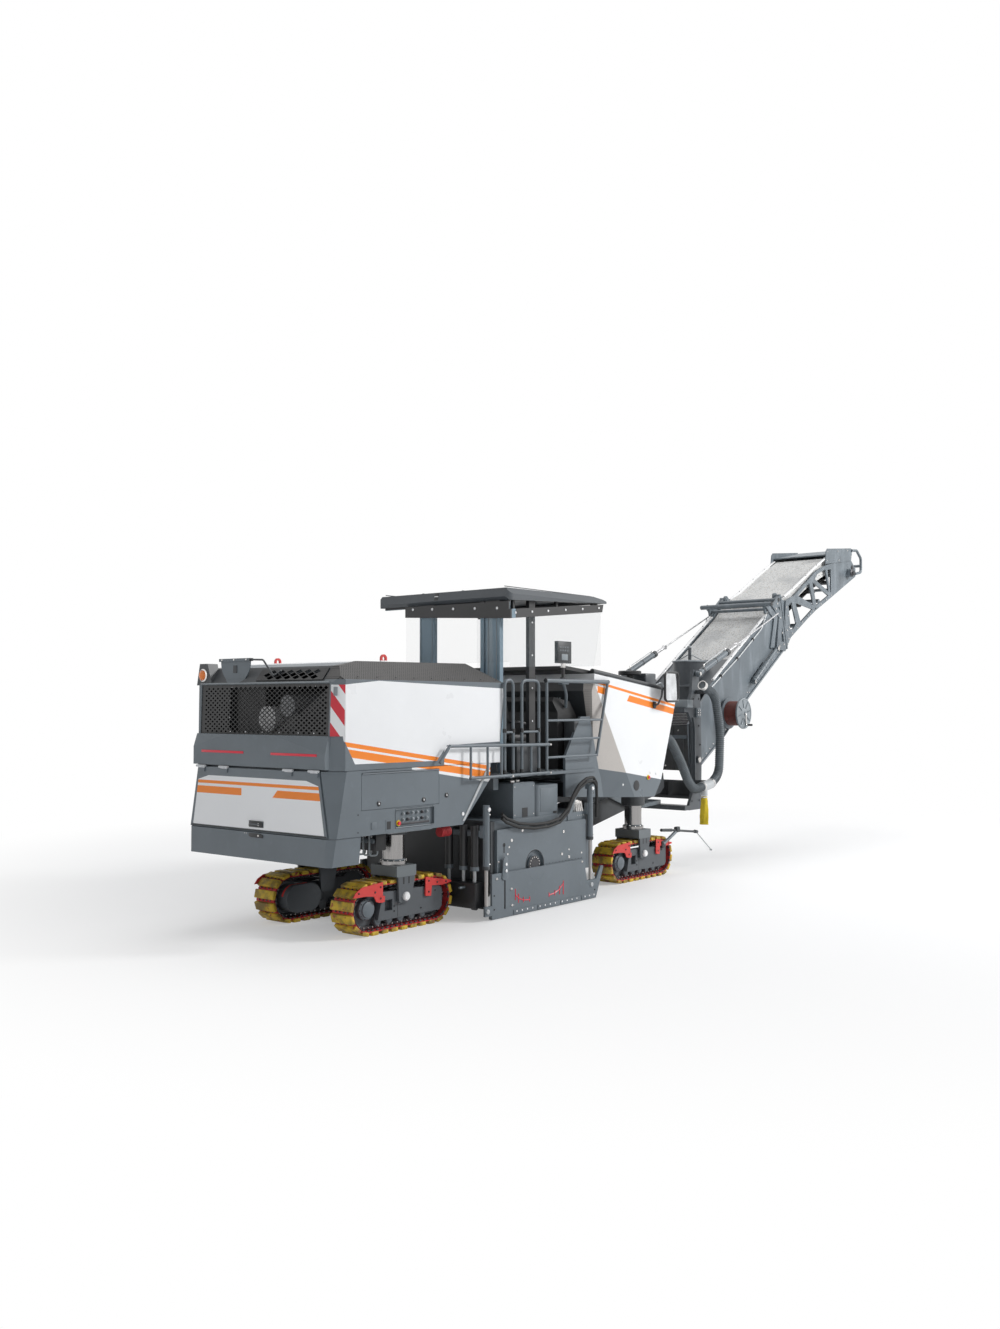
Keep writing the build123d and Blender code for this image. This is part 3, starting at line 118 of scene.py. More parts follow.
def lay_floor():
    bpy.ops.object.select_all(action="DESELECT")
    bpy.ops.mesh.primitive_plane_add(size=400.0, location=(0, 0, 0))
    floor = bpy.context.active_object
    floor.name = "studio_floor"
    material = bpy.data.materials.new("floor_white")
    material.use_nodes = True
    tree = material.node_tree
    tree.nodes.clear()
    output = tree.nodes.new("ShaderNodeOutputMaterial")
    matt = tree.nodes.new("ShaderNodeBsdfDiffuse")
    matt.inputs["Color"].default_value = (0.92, 0.92, 0.92, 1.0)
    glow = tree.nodes.new("ShaderNodeEmission")
    distance = tree.nodes.new("ShaderNodeVectorMath")
    distance.operation = "LENGTH"
    tree.links.new(tree.nodes.new("ShaderNodeTexCoord").outputs["Object"], distance.inputs[0])
    fade = tree.nodes.new("ShaderNodeMapRange")
    fade.interpolation_type = "SMOOTHSTEP"
    for key, number in (("From Min", 6.0), ("From Max", 13.0), ("To Min", 0.30), ("To Max", 1.0)):
        fade.inputs[key].default_value = number
    tree.links.new(distance.outputs["Value"], fade.inputs["Value"])
    seen = background_rays(tree)
    share = tree.nodes.new("ShaderNodeMath")
    share.operation = "MULTIPLY"
    tree.links.new(fade.outputs[0], share.inputs[0])
    tree.links.new(seen, share.inputs[1])
    mix = tree.nodes.new("ShaderNodeMixShader")
    tree.links.new(share.outputs[0], mix.inputs[0])
    tree.links.new(matt.outputs[0], mix.inputs[1])
    tree.links.new(glow.outputs[0], mix.inputs[2])
    tree.links.new(mix.outputs[0], output.inputs["Surface"])
    floor.data.materials.append(material)


bpy.context.scene.view_settings.view_transform = "Standard"
place_camera()
light_scene()
lay_floor()


# ---------------------------------------------------------------- finishes
class Finish:
    """A procedural material read from Object coordinates, built up in layers over one shader."""

    def __init__(self, name, colour, roughness, metallic=0.0):
        self.material = bpy.data.materials.new(name)
        self.material.use_nodes = True
        self.tree = self.material.node_tree
        self.shader = self.tree.nodes["Principled BSDF"]
        self.shader.inputs["Metallic"].default_value = metallic
        self.shader.inputs["Roughness"].default_value = roughness
        self.point = self.tree.nodes.new("ShaderNodeTexCoord").outputs["Object"]
        split = self.tree.nodes.new("ShaderNodeSeparateXYZ")
        self.tree.links.new(self.point, split.inputs[0])
        self.x, self.y, self.z = split.outputs
        self.colour = colour
        self.height = None

    def math(self, operation, a, b=0.0, c=None):
        node = self.tree.nodes.new("ShaderNodeMath")
        node.operation = operation
        for socket, value in zip(node.inputs, (a, b, c)):
            if isinstance(value, (int, float)):
                socket.default_value = value
            elif value is not None:
                self.tree.links.new(value, socket)
        return node.outputs[0]

    def sum_of(self, *terms, plus=0.0):
        """plus + each factor times its socket."""
        total = plus
        for factor, socket in terms:
            total = self.math("MULTIPLY_ADD", socket, factor, total)
        return total

    def above(self, value, limit):
        return self.math("GREATER_THAN", value, limit)

    def below(self, value, limit):
        return self.math("LESS_THAN", value, limit)

    def between(self, value, low, high):
        return self.math("MULTIPLY", self.above(value, low), self.below(value, high))

    def size_of(self, value):
        return self.math("ABSOLUTE", value)

    def within(self, places, reach):
        """1 where a point is less than reach from a centre; places holds (socket, centre) pairs."""
        offsets = [self.math("SUBTRACT", socket, centre) for socket, centre in places]
        squares = [self.math("MULTIPLY", offset, offset) for offset in offsets]
        return self.below(self.math("ADD", *squares), reach ** 2)

    def outside(self, mask):
        return self.math("SUBTRACT", 1.0, mask)

    def all_of(self, *masks):
        total = masks[0]
        for mask in masks[1:]:
            total = self.math("MULTIPLY", total, mask)
        return total

    def any_of(self, *masks):
        total = masks[0]
        for mask in masks[1:]:
            total = self.math("MAXIMUM", total, mask)
        return total

    def noise(self, scale, detail=3.0, stretch=None):
        node = self.tree.nodes.new("ShaderNodeTexNoise")
        node.inputs["Scale"].default_value = scale
        node.inputs["Detail"].default_value = detail
        source = self.point
        if stretch:
            mapping = self.tree.nodes.new("ShaderNodeMapping")
            mapping.inputs["Scale"].default_value = stretch
            self.tree.links.new(self.point, mapping.inputs["Vector"])
            source = mapping.outputs[0]
        self.tree.links.new(source, node.inputs["Vector"])
        return node.outputs["Fac"]

    def spread(self, value, low, high, to_low, to_high):
        node = self.tree.nodes.new("ShaderNodeMapRange")
        for key, number in (("From Min", low), ("From Max", high), ("To Min", to_low), ("To Max", to_high)):
            node.inputs[key].default_value = number
        self.tree.links.new(value, node.inputs["Value"])
        return node.outputs[0]

    def over(self, colour, mask):
        """Lays a colour over what is there, where the mask is 1."""
        node = self.tree.nodes.new("ShaderNodeMix")
        node.data_type = "RGBA"
        for socket, value in ((node.inputs[6], self.colour), (node.inputs[7], colour)):
            if isinstance(value, tuple):
                socket.default_value = (*value, 1.0)
            else:
                self.tree.links.new(value, socket)
        if isinstance(mask, float):
            node.inputs[0].default_value = mask
        else:
            self.tree.links.new(mask, node.inputs[0])
        self.colour = node.outputs[2]

    def raise_by(self, value, depth):
        """Adds a relief of that depth in metres."""
        relief = self.math("MULTIPLY", value, depth)
        self.height = relief if self.height is None else self.math("ADD", self.height, relief)

    def rough(self, value):
        self.tree.links.new(value, self.shader.inputs["Roughness"])

    def done(self):
        if isinstance(self.colour, tuple):
            self.shader.inputs["Base Color"].default_value = (*self.colour, 1.0)
        else:
            self.tree.links.new(self.colour, self.shader.inputs["Base Color"])
        if self.height is not None:
            bump = self.tree.nodes.new("ShaderNodeBump")
            bump.inputs["Strength"].default_value = 1.0
            bump.inputs["Distance"].default_value = 1.0
            self.tree.links.new(self.height, bump.inputs["Height"])
            self.tree.links.new(bump.outputs[0], self.shader.inputs["Normal"])
        return self.material


def tinted(colour, factor):
    return tuple(min(1.0, part * factor) for part in colour)


def paint(name, colour, roughness=0.42, play=0.13):
    """Sprayed enamel: soft mottling, fine dust in the gloss, a trace of orange peel."""
    finish = Finish(name, colour, roughness)
    finish.over(tinted(colour, 1.0 - play), finish.spread(finish.noise(1.7, 5.0), 0.42, 0.72, 0.0, 1.0))
    finish.over(tinted(colour, 1.0 + play), finish.spread(finish.noise(9.0, 4.0), 0.58, 0.8, 0.0, 0.6))
    finish.rough(finish.spread(finish.noise(3.0, 3.0), 0.3, 0.7, roughness - 0.03, roughness + 0.04))
    finish.raise_by(finish.noise(160.0, 2.0), 0.00003)
    return finish


SLATE = (0.135, 0.160, 0.180)
CHARCOAL = (0.045, 0.050, 0.055)
WHITE = (0.86, 0.87, 0.88)
ORANGE = (0.90, 0.235, 0.012)
MUSTARD = (0.66, 0.45, 0.035)
RED = (0.62, 0.045, 0.040)

# At each corner: x and y of its lifting column, and which way is outboard.
CORNERS = {"rear_right": (-2.615, -0.808, -1), "rear_left": (-2.615, 0.535, 1),
           "front_right": (2.615, -0.808, -1), "front_left": (2.615, 0.808, 1)}

# Slanted bands on the sides, as slope, start and two (low, high) pairs: z + slope * (x - start) lies between
# low and high, with x from the wheelbase's middle.
HOOD_BANDS = (0.1435, -3.8, ((2.190, 2.240), (2.080, 2.166)))
MODULE_BANDS = (0.157, 1.0, ((2.946, 2.983), (2.823, 2.918)))


def slanted_bands(finish, bands):
    slope, start, pairs = bands
    level = finish.sum_of((1.0, finish.z), (slope, finish.x), plus=slope * (MID - start))
    return [finish.between(level, low, high) for low, high in pairs]


def hood_panel_finish():
    finish = paint("hood_panel_white", WHITE, 0.30, 0.025)
    finish.over(ORANGE, finish.any_of(*slanted_bands(finish, HOOD_BANDS)))
    return finish.done()


def lower_body_finish():
    """Slate, with the white tail of the side panel and its two orange bands."""
    finish = paint("lower_body_slate", SLATE)
    edge = finish.sum_of((1.0, finish.z), (0.152, finish.x), plus=0.152 * (MID + 2.80))
    tail = finish.all_of(finish.above(edge, 1.905), finish.above(finish.x, -2.80 - MID),
                         finish.above(finish.size_of(finish.y), 1.15))
    finish.over(WHITE, tail)
    finish.over(ORANGE, finish.all_of(tail, finish.any_of(*slanted_bands(finish, HOOD_BANDS))))
    return finish.done()


def hood_shell_finish():
    finish = paint("hood_slate", SLATE)
    beside = finish.above(finish.size_of(finish.y), 1.15)
    tail = finish.all_of(beside, finish.above(finish.x, -2.24 - MID), finish.below(finish.z, 2.155))
    finish.over(WHITE, tail)
    finish.over(ORANGE, finish.all_of(tail, finish.any_of(*slanted_bands(finish, HOOD_BANDS))))
    roof = finish.all_of(finish.above(finish.z, 3.135), finish.above(finish.x, -3.84 - MID))
    finish.over(WHITE, roof)
    slope = finish.all_of(finish.between(finish.x, -3.97 - MID, -3.79 - MID), finish.above(finish.z, 2.895),
                          finish.above(finish.y, -1.03))
    bracket = finish.all_of(finish.within(((finish.y, 0.555), (finish.z, 3.165)), math.sqrt(0.0736)),
                            finish.below(finish.x, -3.887 - MID), finish.below(finish.y, 0.84))
    finish.over(CHARCOAL, finish.all_of(slope, finish.outside(bracket)))
    beside_eye = finish.size_of(finish.math("SUBTRACT", finish.size_of(finish.y), 0.94))
    eye = finish.all_of(finish.below(beside_eye, 0.02), finish.above(finish.z, 3.172),
                        finish.between(finish.x, -3.0 - MID, -2.86 - MID))
    finish.over(RED, eye)
    return finish.done()


def engine_finish():
    """Dull iron; behind the grille one air cleaner is white and the other grey."""
    finish = Finish("engine_iron", (0.10, 0.10, 0.10), 0.55)
    finish.over((0.05, 0.05, 0.05), finish.spread(finish.noise(5.0, 5.0), 0.4, 0.7, 0.0, 1.0))
    cleaner = finish.below(finish.x, -3.40 - MID)
    for y, z, reach, colour in ((0.0, 2.49, 0.155, (0.80, 0.80, 0.80)),
                                (-0.33, 2.64, 0.13, (0.42, 0.43, 0.44))):
        drum = finish.within(((finish.y, y), (finish.z, z)), reach)
        finish.over(colour, finish.all_of(cleaner, drum))
    return finish.done()


def drum_housing_finish():
    """Slate cover on the side, near black behind it as painted shade."""
    finish = paint("drum_housing", SLATE)
    # Painted shade: the housing behind the cover is laid near black.
    finish.over(CHARCOAL, finish.below(finish.x, -1.373 - MID))
    return finish.done()


def tail_door_finish():
    """White field with sloping shoulders inside a slate frame, and two level orange bands."""
    finish = paint("tail_door_white", SLATE, 0.34)
    across = finish.size_of(finish.y)
    side = finish.sum_of((1.0, across), (0.177, finish.z))
    shoulder = finish.sum_of((0.26, across), (1.0, finish.z))
    field = finish.all_of(finish.below(side, 1.372), finish.below(shoulder, 2.042),
                          finish.between(finish.z, 1.232, 1.818), finish.below(finish.x, -3.99 - MID))
    finish.over(WHITE, field)
    thick = finish.between(finish.z, 1.606, 1.691)
    gap = finish.all_of(finish.below(finish.y, 0.25),
                        finish.above(finish.sum_of((1.0, finish.y), (1.0, finish.z)), 1.31))
    wide = finish.all_of(thick, finish.outside(gap))
    thin = finish.between(finish.z, 1.723, 1.760)
    finish.over(ORANGE, finish.all_of(field, finish.any_of(thin, wide)))
    proud = finish.below(finish.x, -4.0465 - MID)
    finish.over(tinted(SLATE, 0.5), finish.all_of(proud, finish.below(finish.z, 1.5)))
    finish.over((0.62, 0.64, 0.66), finish.all_of(proud, finish.above(finish.z, 1.905)))
    return finish.done()


def module_finish():
    """White sides with two bands, slate below, and a pale perforated field behind the crease, its beige a
    painted shade.
    """
    finish = paint("module_white", WHITE, 0.30, 0.025)
    beside = finish.above(finish.size_of(finish.y), 1.1)
    crease = finish.sum_of((1.0, finish.x), (0.617, finish.z))
    behind = finish.below(crease, 1.0 - MID + 0.617 * 2.823 - 0.003)
    low = finish.below(finish.sum_of((1.0, finish.z), (0.147, finish.x)), 1.668 + 0.147 * (1.709 - MID))
    first = finish.sum_of((70.0, finish.x), (44.0, finish.z))
    second = finish.sum_of((70.0, finish.x), (-44.0, finish.z))
    rows = [finish.math("FRACT", level) for level in (first, second)]
    dots = finish.all_of(*[finish.between(row, 0.28, 0.72) for row in rows])
    # Painted shade: behind the crease the sheet is laid darker beige than the white, with the holes as dark
    # dots on it.
    finish.over((0.60, 0.565, 0.53), behind)
    finish.over((0.40, 0.37, 0.35), finish.all_of(behind, dots))
    finish.over(CHARCOAL, finish.all_of(behind, finish.outside(beside)))
    bands = slanted_bands(finish, MODULE_BANDS)
    slant = finish.sum_of((1.0, finish.x), (-0.8, finish.z))
    gap = finish.all_of(finish.above(finish.x, 1.175 - MID), finish.below(slant, 1.809 - MID - 0.8 * 2.8))
    wide = finish.all_of(bands[1], finish.outside(gap))
    started = finish.above(finish.x, 0.985 - MID)
    finish.over(ORANGE, finish.all_of(beside, started, finish.any_of(bands[0], wide)))
    finish.over(SLATE, low)
    return finish.done()


def perforated(name, colour, hole, pitch, share):
    """Sheet with rows of round holes: dark spots set in a staggered grid, sunk a little."""
    finish = paint(name, colour, 0.5)
    rows = [finish.sum_of((1 / pitch, finish.x), (sign / pitch, finish.z)) for sign in (1.0, -1.0)]
    spot = finish.within([(finish.math("FRACT", row), 0.5) for row in rows], share)
    finish.over(hole, spot)
    finish.raise_by(spot, -0.002)
    return finish.done()


def worn_steel(name, colour, roughness, streak=(1.0, 1.0, 14.0)):
    finish = Finish(name, colour, roughness, 1.0)
    finish.over(tinted(colour, 0.7), finish.spread(finish.noise(6.0, 5.0, streak), 0.35, 0.75, 0.0, 1.0))
    finish.rough(finish.spread(finish.noise(30.0, 3.0, streak), 0.3, 0.7, max(0.04, roughness - 0.08),
                               roughness + 0.12))
    return finish.done()


def rubber(name, colour, roughness=0.7):
    finish = Finish(name, colour, roughness)
    finish.over(tinted(colour, 1.8), finish.spread(finish.noise(5.0, 6.0), 0.5, 0.8, 0.0, 0.8))
    finish.raise_by(finish.noise(90.0, 4.0), 0.0012)
    return finish.done()


def belt_finish():
    """Pale dusty cover with grey and tan speckles."""
    finish = Finish("belt_cover", (0.60, 0.605, 0.60), 0.75)
    finish.over((0.40, 0.40, 0.39), finish.spread(finish.noise(34.0, 6.0), 0.50, 0.60, 0.0, 1.0))
    finish.over((0.72, 0.62, 0.50), finish.spread(finish.noise(52.0, 4.0), 0.60, 0.66, 0.0, 0.8))
    finish.over((0.30, 0.31, 0.32), finish.spread(finish.noise(1.4, 4.0), 0.52, 0.75, 0.0, 0.6))
    finish.raise_by(finish.noise(60.0, 5.0), 0.003)
    return finish.done()


def track_finish():
    """Mustard shoes with dark olive patches of painted shade, and red dirt worked into the links."""
    finish = Finish("track_mustard", MUSTARD, 0.6)
    # Painted shade: dark olive patches, the tone of the shoes' shaded faces, laid at random.
    finish.over((0.20, 0.135, 0.03), finish.spread(finish.noise(7.0, 6.0), 0.42, 0.62, 0.0, 1.0))
    finish.over((0.30, 0.03, 0.03), finish.spread(finish.noise(16.0, 5.0), 0.60, 0.68, 0.0, 0.9))
    finish.raise_by(finish.noise(70.0, 5.0), 0.002)
    return finish.done()


def glass_finish():
    finish = Finish("pane_glass", (0.38, 0.44, 0.47), 0.03)
    finish.shader.inputs["Alpha"].default_value = 0.05
    finish.shader.inputs["Specular IOR Level"].default_value = 0.2
    finish.over((0.26, 0.30, 0.33), finish.spread(finish.noise(3.0, 4.0), 0.5, 0.8, 0.0, 0.5))
    return finish.done()


def duct_finish():
    """Grey coated fabric with dust caught between the ribs."""
    finish = Finish("duct_grey", (0.13, 0.15, 0.165), 0.6)
    finish.over((0.20, 0.225, 0.24), finish.spread(finish.noise(12.0, 4.0), 0.45, 0.7, 0.0, 0.7))
    finish.raise_by(finish.noise(40.0, 3.0), 0.002)
    return finish.done()


def undercarriage_finish(corner, x, y):
    """Dark frame, lighter grey on the yoke above z 0.63; the guard plates outside the chain are red."""
    finish = paint(f"undercarriage_{corner}", (0.085, 0.095, 0.105), 0.5)
    along = finish.math("SUBTRACT", finish.x, x - MID)
    across = finish.size_of(finish.math("SUBTRACT", finish.y, y))
    ends = finish.any_of(finish.below(along, -0.335), finish.above(along, 0.352))
    guard = finish.all_of(ends, finish.above(across, 0.1695), finish.below(across, 0.2),
                          finish.above(finish.z, 0.34))
    finish.over(RED, guard)
    # The yoke, above z 0.63, is laid lighter grey.
    yoke = finish.above(finish.z, 0.63)
    finish.over((0.16, 0.18, 0.19), finish.math("MULTIPLY", yoke, 0.8))
    return finish.done()


def edge_plate_finish(side, y):
    """Slate plate; its two lifting rods are bright."""
    finish = paint(f"edge_plate_{side}", SLATE)
    beside = finish.below(finish.size_of(finish.math("SUBTRACT", finish.y, y)), 0.024)
    for x, foot in ((-1.6, 0.186), (0.62, 0.27)):
        near = finish.below(finish.size_of(finish.math("SUBTRACT", finish.x, x - MID)), 0.024)
        finish.over((0.42, 0.40, 0.385), finish.all_of(beside, near, finish.above(finish.z, foot)))
    return finish.done()


def canopy_frame_finish():
    """Black skirts and rails; the tall posts at the back are blue grey with pale streaks."""
    finish = paint("canopy_black", (0.030, 0.030, 0.031), 0.45)
    post = finish.all_of(finish.between(finish.x, -0.8745 - MID, -0.795 - MID), finish.below(finish.z, 3.99))
    finish.over((0.19, 0.27, 0.33), post)
    streak = finish.spread(finish.noise(9.0, 3.0, (1.0, 1.0, 0.05)), 0.52, 0.6, 0.0, 0.5)
    finish.over((0.40, 0.44, 0.46), finish.all_of(post, streak))
    return finish.done()


def conveyor_wall_finish():
    """Slate walls with pale blue grey runs down them, a painted reflection, and darker patches."""
    finish = paint("conveyor_wall", SLATE)
    # Painted reflection: pale blue grey runs down the walls.
    reflection_runs = finish.spread(finish.noise(5.0, 6.0, (1.0, 1.0, 0.22)), 0.50, 0.68, 0.0, 0.75)
    finish.over((0.215, 0.245, 0.27), reflection_runs)
    finish.over((0.06, 0.07, 0.08),
                finish.spread(finish.noise(3.1, 5.0, (1.0, 1.0, 0.4)), 0.60, 0.72, 0.0, 0.7))
    return finish.done()


def reel_finish():
    finish = paint("reel_grey", tinted(SLATE, 1.2), 0.4)
    across = finish.size_of(finish.math("ADD", finish.y, 0.80))
    finish.over((0.12, 0.028, 0.02), finish.below(across, 0.128))
    return finish.done()


def hazard_finish():
    """Slanting red and white bands."""
    finish = paint("hazard_bands", WHITE, 0.35, 0.03)
    run = finish.sum_of((2.8, finish.z), (2.8, finish.x), (-2.8, finish.y))
    finish.over((0.62, 0.03, 0.05), finish.above(finish.math("FRACT", run), 0.5))
    return finish.done()


def fabric_finish(name, colour):
    finish = Finish(name, colour, 0.85)
    threads = [finish.math("FRACT", finish.math("MULTIPLY", axis, 260.0)) for axis in (finish.x, finish.z)]
    weave = finish.all_of(*[finish.between(thread, 0.2, 0.8) for thread in threads])
    finish.over(tinted(colour, 0.7), finish.outside(weave))
    finish.over(tinted(colour, 0.6), finish.spread(finish.noise(9.0, 5.0), 0.5, 0.75, 0.0, 0.8))
    finish.raise_by(weave, 0.0006)
    return finish.done()


slate = paint("slate_paint", SLATE).done()
charcoal = paint("charcoal_paint", CHARCOAL, 0.5).done()
roof_slate = paint("roof_slate", (0.075, 0.085, 0.095), 0.38).done()
skirt_black = paint("skirt_black", (0.030, 0.030, 0.031), 0.45).done()
grille_dark = perforated("grille_dark", (0.075, 0.072, 0.070), (0.012, 0.012, 0.012), 0.034, 0.30)
mesh_black = paint("mesh_black", (0.020, 0.020, 0.021), 0.45).done()
chrome = worn_steel("leg_chrome", (0.34, 0.33, 0.325), 0.20, (1.6, 1.6, 0.08))
steel = worn_steel("brushed_steel", (0.55, 0.55, 0.56), 0.32)
iron = worn_steel("cast_iron", (0.18, 0.18, 0.18), 0.55, (1.0, 1.0, 1.0))
rubber_black = rubber("rubber_black", (0.012, 0.012, 0.012))
seat_vinyl = rubber("seat_vinyl", (0.018, 0.018, 0.019), 0.5)
belt_cover = belt_finish()
track_mustard = track_finish()
pane_glass = glass_finish()
duct_grey = duct_finish()
duct_rib = rubber("duct_rib", (0.085, 0.10, 0.11), 0.5)
sock_yellow = fabric_finish("sock_yellow", (0.82, 0.62, 0.03))
reel_red = paint("reel_red", (0.14, 0.028, 0.02), 0.55, 0.5).done()
track_red = paint("track_red", (0.50, 0.030, 0.035), 0.55, 0.3).done()
link_dark = worn_steel("link_dark", (0.10, 0.10, 0.105), 0.5, (1.0, 1.0, 1.0))
bolt_bright = worn_steel("bolt_bright", (0.78, 0.76, 0.74), 0.25, (1.0, 1.0, 1.0))
bolt_dark = paint("bolt_dark", (0.020, 0.021, 0.023), 0.4).done()
cap_white = paint("cap_white", (0.88, 0.88, 0.88), 0.25, 0.02).done()
mark_red = paint("mark_red", (0.75, 0.03, 0.06), 0.4, 0.05).done()
lens_orange = paint("lens_orange", (0.90, 0.22, 0.02), 0.12, 0.25).done()
lens_yellow = paint("lens_yellow", (0.85, 0.62, 0.02), 0.3, 0.05).done()
trim_grey = paint("trim_grey", (0.25, 0.28, 0.30), 0.35).done()
trim_silver = paint("trim_silver", (0.50, 0.52, 0.53), 0.32, 0.2).done()
tail_dark = paint("tail_dark", (0.055, 0.058, 0.060), 0.6, 0.4).done()
mirror_glass = worn_steel("mirror_glass", (0.86, 0.88, 0.90), 0.05, (1.0, 1.0, 1.0))
screen_dark = paint("screen_dark", (0.010, 0.014, 0.018), 0.12, 0.1).done()
hazard_bands = hazard_finish()
conveyor_wall = conveyor_wall_finish()

NODE_FINISH = {
    "main_frame": charcoal, "engine_block": engine_finish(), "lower_body": lower_body_finish(),
    "rear_bumper": slate, "tail_door": tail_door_finish(), "rear_grille": mesh_black,
    "service_door_right": slate, "service_door_left": slate,
    "hood_shell": hood_shell_finish(), "hood_panels": hood_panel_finish(), "hood_meshes": grille_dark,
    "drum_housing": drum_housing_finish(), "milling_drum": iron, "hydraulic_hoses": rubber_black,
    "side_plate_right": edge_plate_finish("right", -1.40),
    "side_plate_left": edge_plate_finish("left", 0.88), "plate_barrels": slate, "side_tanks": slate,
    "front_module": module_finish(), "front_cover": skirt_black, "mirrors": skirt_black,
    "platform_deck": slate, "control_console": skirt_black,
    "operator_seats": seat_vinyl, "gate_hoops_right": slate, "gate_hoops_left": slate,
    "guard_rails_right": slate, "guard_rails_left": slate,
    "canopy_roof": roof_slate, "canopy_frame": canopy_frame_finish(), "canopy_panes": pane_glass,
    "primary_conveyor": charcoal, "conveyor_mount": slate, "slew_yoke": roof_slate,
    "luff_cylinders": slate, "luff_rods": steel, "fold_cylinders": slate, "transfer_hood": roof_slate,
    "conveyor_lower_frame": conveyor_wall, "conveyor_upper_frame": conveyor_wall,
    "conveyor_head": conveyor_wall, "belt_lower": belt_cover, "belt_upper": belt_cover,
    "hose_reel": reel_finish(), "dust_hose": duct_grey, "duct_riser": duct_grey, "duct_sock": sock_yellow,
    "sighting_rod": charcoal,
}
for node_name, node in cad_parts.items():
    finish = NODE_FINISH.get(node_name)
    if finish is None:
        kind = node_name.rsplit("_", 2)[0]
        corner = node_name[len(kind) + 1:]
        finish = {"track_chain": track_mustard, "column": chrome}.get(kind)
        if kind == "track_frame":
            finish = undercarriage_finish(corner, *CORNERS[corner][:2])
    node.data.materials.clear()
    node.data.materials.append(finish)


# ---------------------------------------------------------------- ways of working
HERE = (MID, 0.0, 0.0)              # at(*HERE) is the frame's own origin, where what repeats is shaped
UP = (0, 0, 1)
TO_RIGHT = (0, -1, 0)
TO_REAR = (-1, 0, 0)
SIDE_FACE = -1.2805                 # y just outside the right wall of the body and of the front module


def deselect():
    bpy.ops.object.select_all(action="DESELECT")


def opened():
    """Opens the active piece in edit mode with all of it selected."""
    bpy.ops.object.mode_set(mode="EDIT")
    bpy.ops.mesh.select_all(action="SELECT")


def closed():
    """Welds the open mesh, turns its faces outwards and goes back to object mode."""
    bpy.ops.mesh.select_all(action="SELECT")
    bpy.ops.mesh.remove_doubles(threshold=0.0002)
    bpy.ops.mesh.normals_make_consistent(inside=False)
    bpy.ops.object.mode_set(mode="OBJECT")
    bpy.ops.object.transform_apply(location=True, rotation=True, scale=True)
    return bpy.context.active_object


def round_sharp(width, sharper_than=35.0, segments=2):
    """Bevels the sharp edges of the open mesh."""
    bpy.ops.mesh.select_all(action="DESELECT")
    bpy.ops.mesh.edges_select_sharp(sharpness=math.radians(sharper_than))
    bpy.ops.mesh.bevel(offset=width, segments=segments, affect="EDGES")


def block(low, high, edge=0.006, segments=2):
    """A bar or plate between two corners, all its edges rounded."""
    low, high = at(*low), at(*high)
    deselect()
    bpy.ops.mesh.primitive_cube_add(size=1.0, location=(low + high) / 2, scale=high - low)
    opened()
    bpy.ops.mesh.bevel(offset=edge, segments=segments, affect="EDGES")
    return closed()


def thread(points):
    """A wire drawn through the points, left open in edit mode."""
    deselect()
    bpy.ops.mesh.primitive_plane_add(size=0.01, location=points[0])
    opened()
    bpy.ops.mesh.merge(type="CENTER")
    for start, end in zip(points, points[1:]):
        bpy.ops.mesh.extrude_region_move(TRANSFORM_OT_translate={"value": end - start})
    bpy.ops.mesh.select_all(action="SELECT")


def slab(outline, push, edge=0.004, segments=2):
    """A plate: its outline filled, then pushed through its thickness and its edges rounded."""
    thread([at(*point) for point in outline])
    bpy.ops.mesh.edge_face_add()
    bpy.ops.mesh.extrude_region_move(TRANSFORM_OT_translate={"value": push})
    bpy.ops.mesh.select_all(action="SELECT")
    bpy.ops.mesh.normals_make_consistent(inside=False)
    round_sharp(edge, segments=segments)
    return closed()


def rod(start, end, radius, edge=0.003, sides=20, tip=None):
    """A round or many-sided bar between two points, its rims bevelled."""
    start, end = at(*start), at(*end)
    run = end - start
    deselect()
    bpy.ops.mesh.primitive_cone_add(vertices=sides, radius1=radius, radius2=radius if tip is None else tip,
                                    depth=run.length, location=(start + end) / 2,
                                    rotation=run.to_track_quat("Z", "Y").to_euler())
    opened()
    round_sharp(edge, 50.0, 1)
    return closed()


def wire(points, bend):
    """The points joined as a curve whose corners are rounded by bend."""
    thread([at(*point) for point in points])
    if bend:
        bpy.ops.mesh.bevel(offset=bend, segments=6, affect="VERTICES")
    bpy.ops.object.mode_set(mode="OBJECT")
    bpy.ops.object.convert(target="CURVE")
    return bpy.context.active_object


def tube(points, radius, bend=0.05, resolution=2):
    """A round tube along the points."""
    path = wire(points, bend)
    path.data.bevel_depth = radius
    path.data.bevel_resolution = resolution
    path.data.use_fill_caps = True
    bpy.ops.object.convert(target="MESH")
    opened()
    return closed()


def turned(centre, axis, profile, steps=24):
    """A turned part: (radius, distance along the axis) pairs spun about the axis."""
    axis = Vector(axis).normalized()
    side = axis.orthogonal().normalized()
    centre = at(*centre)
    thread([centre + side * radius + axis * along for radius, along in profile])
    bpy.ops.mesh.spin(steps=steps, angle=2 * math.pi, center=centre, axis=axis)
    return closed()


def collar(centre, axis, inner, outer, low, high, steps):
    """A plain ring round the axis, from low to high along it."""
    return turned(centre, axis, [(inner, low), (outer, low), (outer, high), (inner, high), (inner, low)],
                  steps)


def fused(pieces):
    """Joins pieces into one mesh with its place in it."""
    deselect()
    for piece in pieces:
        piece.select_set(True)
    bpy.context.view_layer.objects.active = pieces[0]
    if len(pieces) > 1:
        bpy.ops.object.join()
    bpy.ops.object.transform_apply(location=True, rotation=True, scale=True)
    return bpy.context.active_object


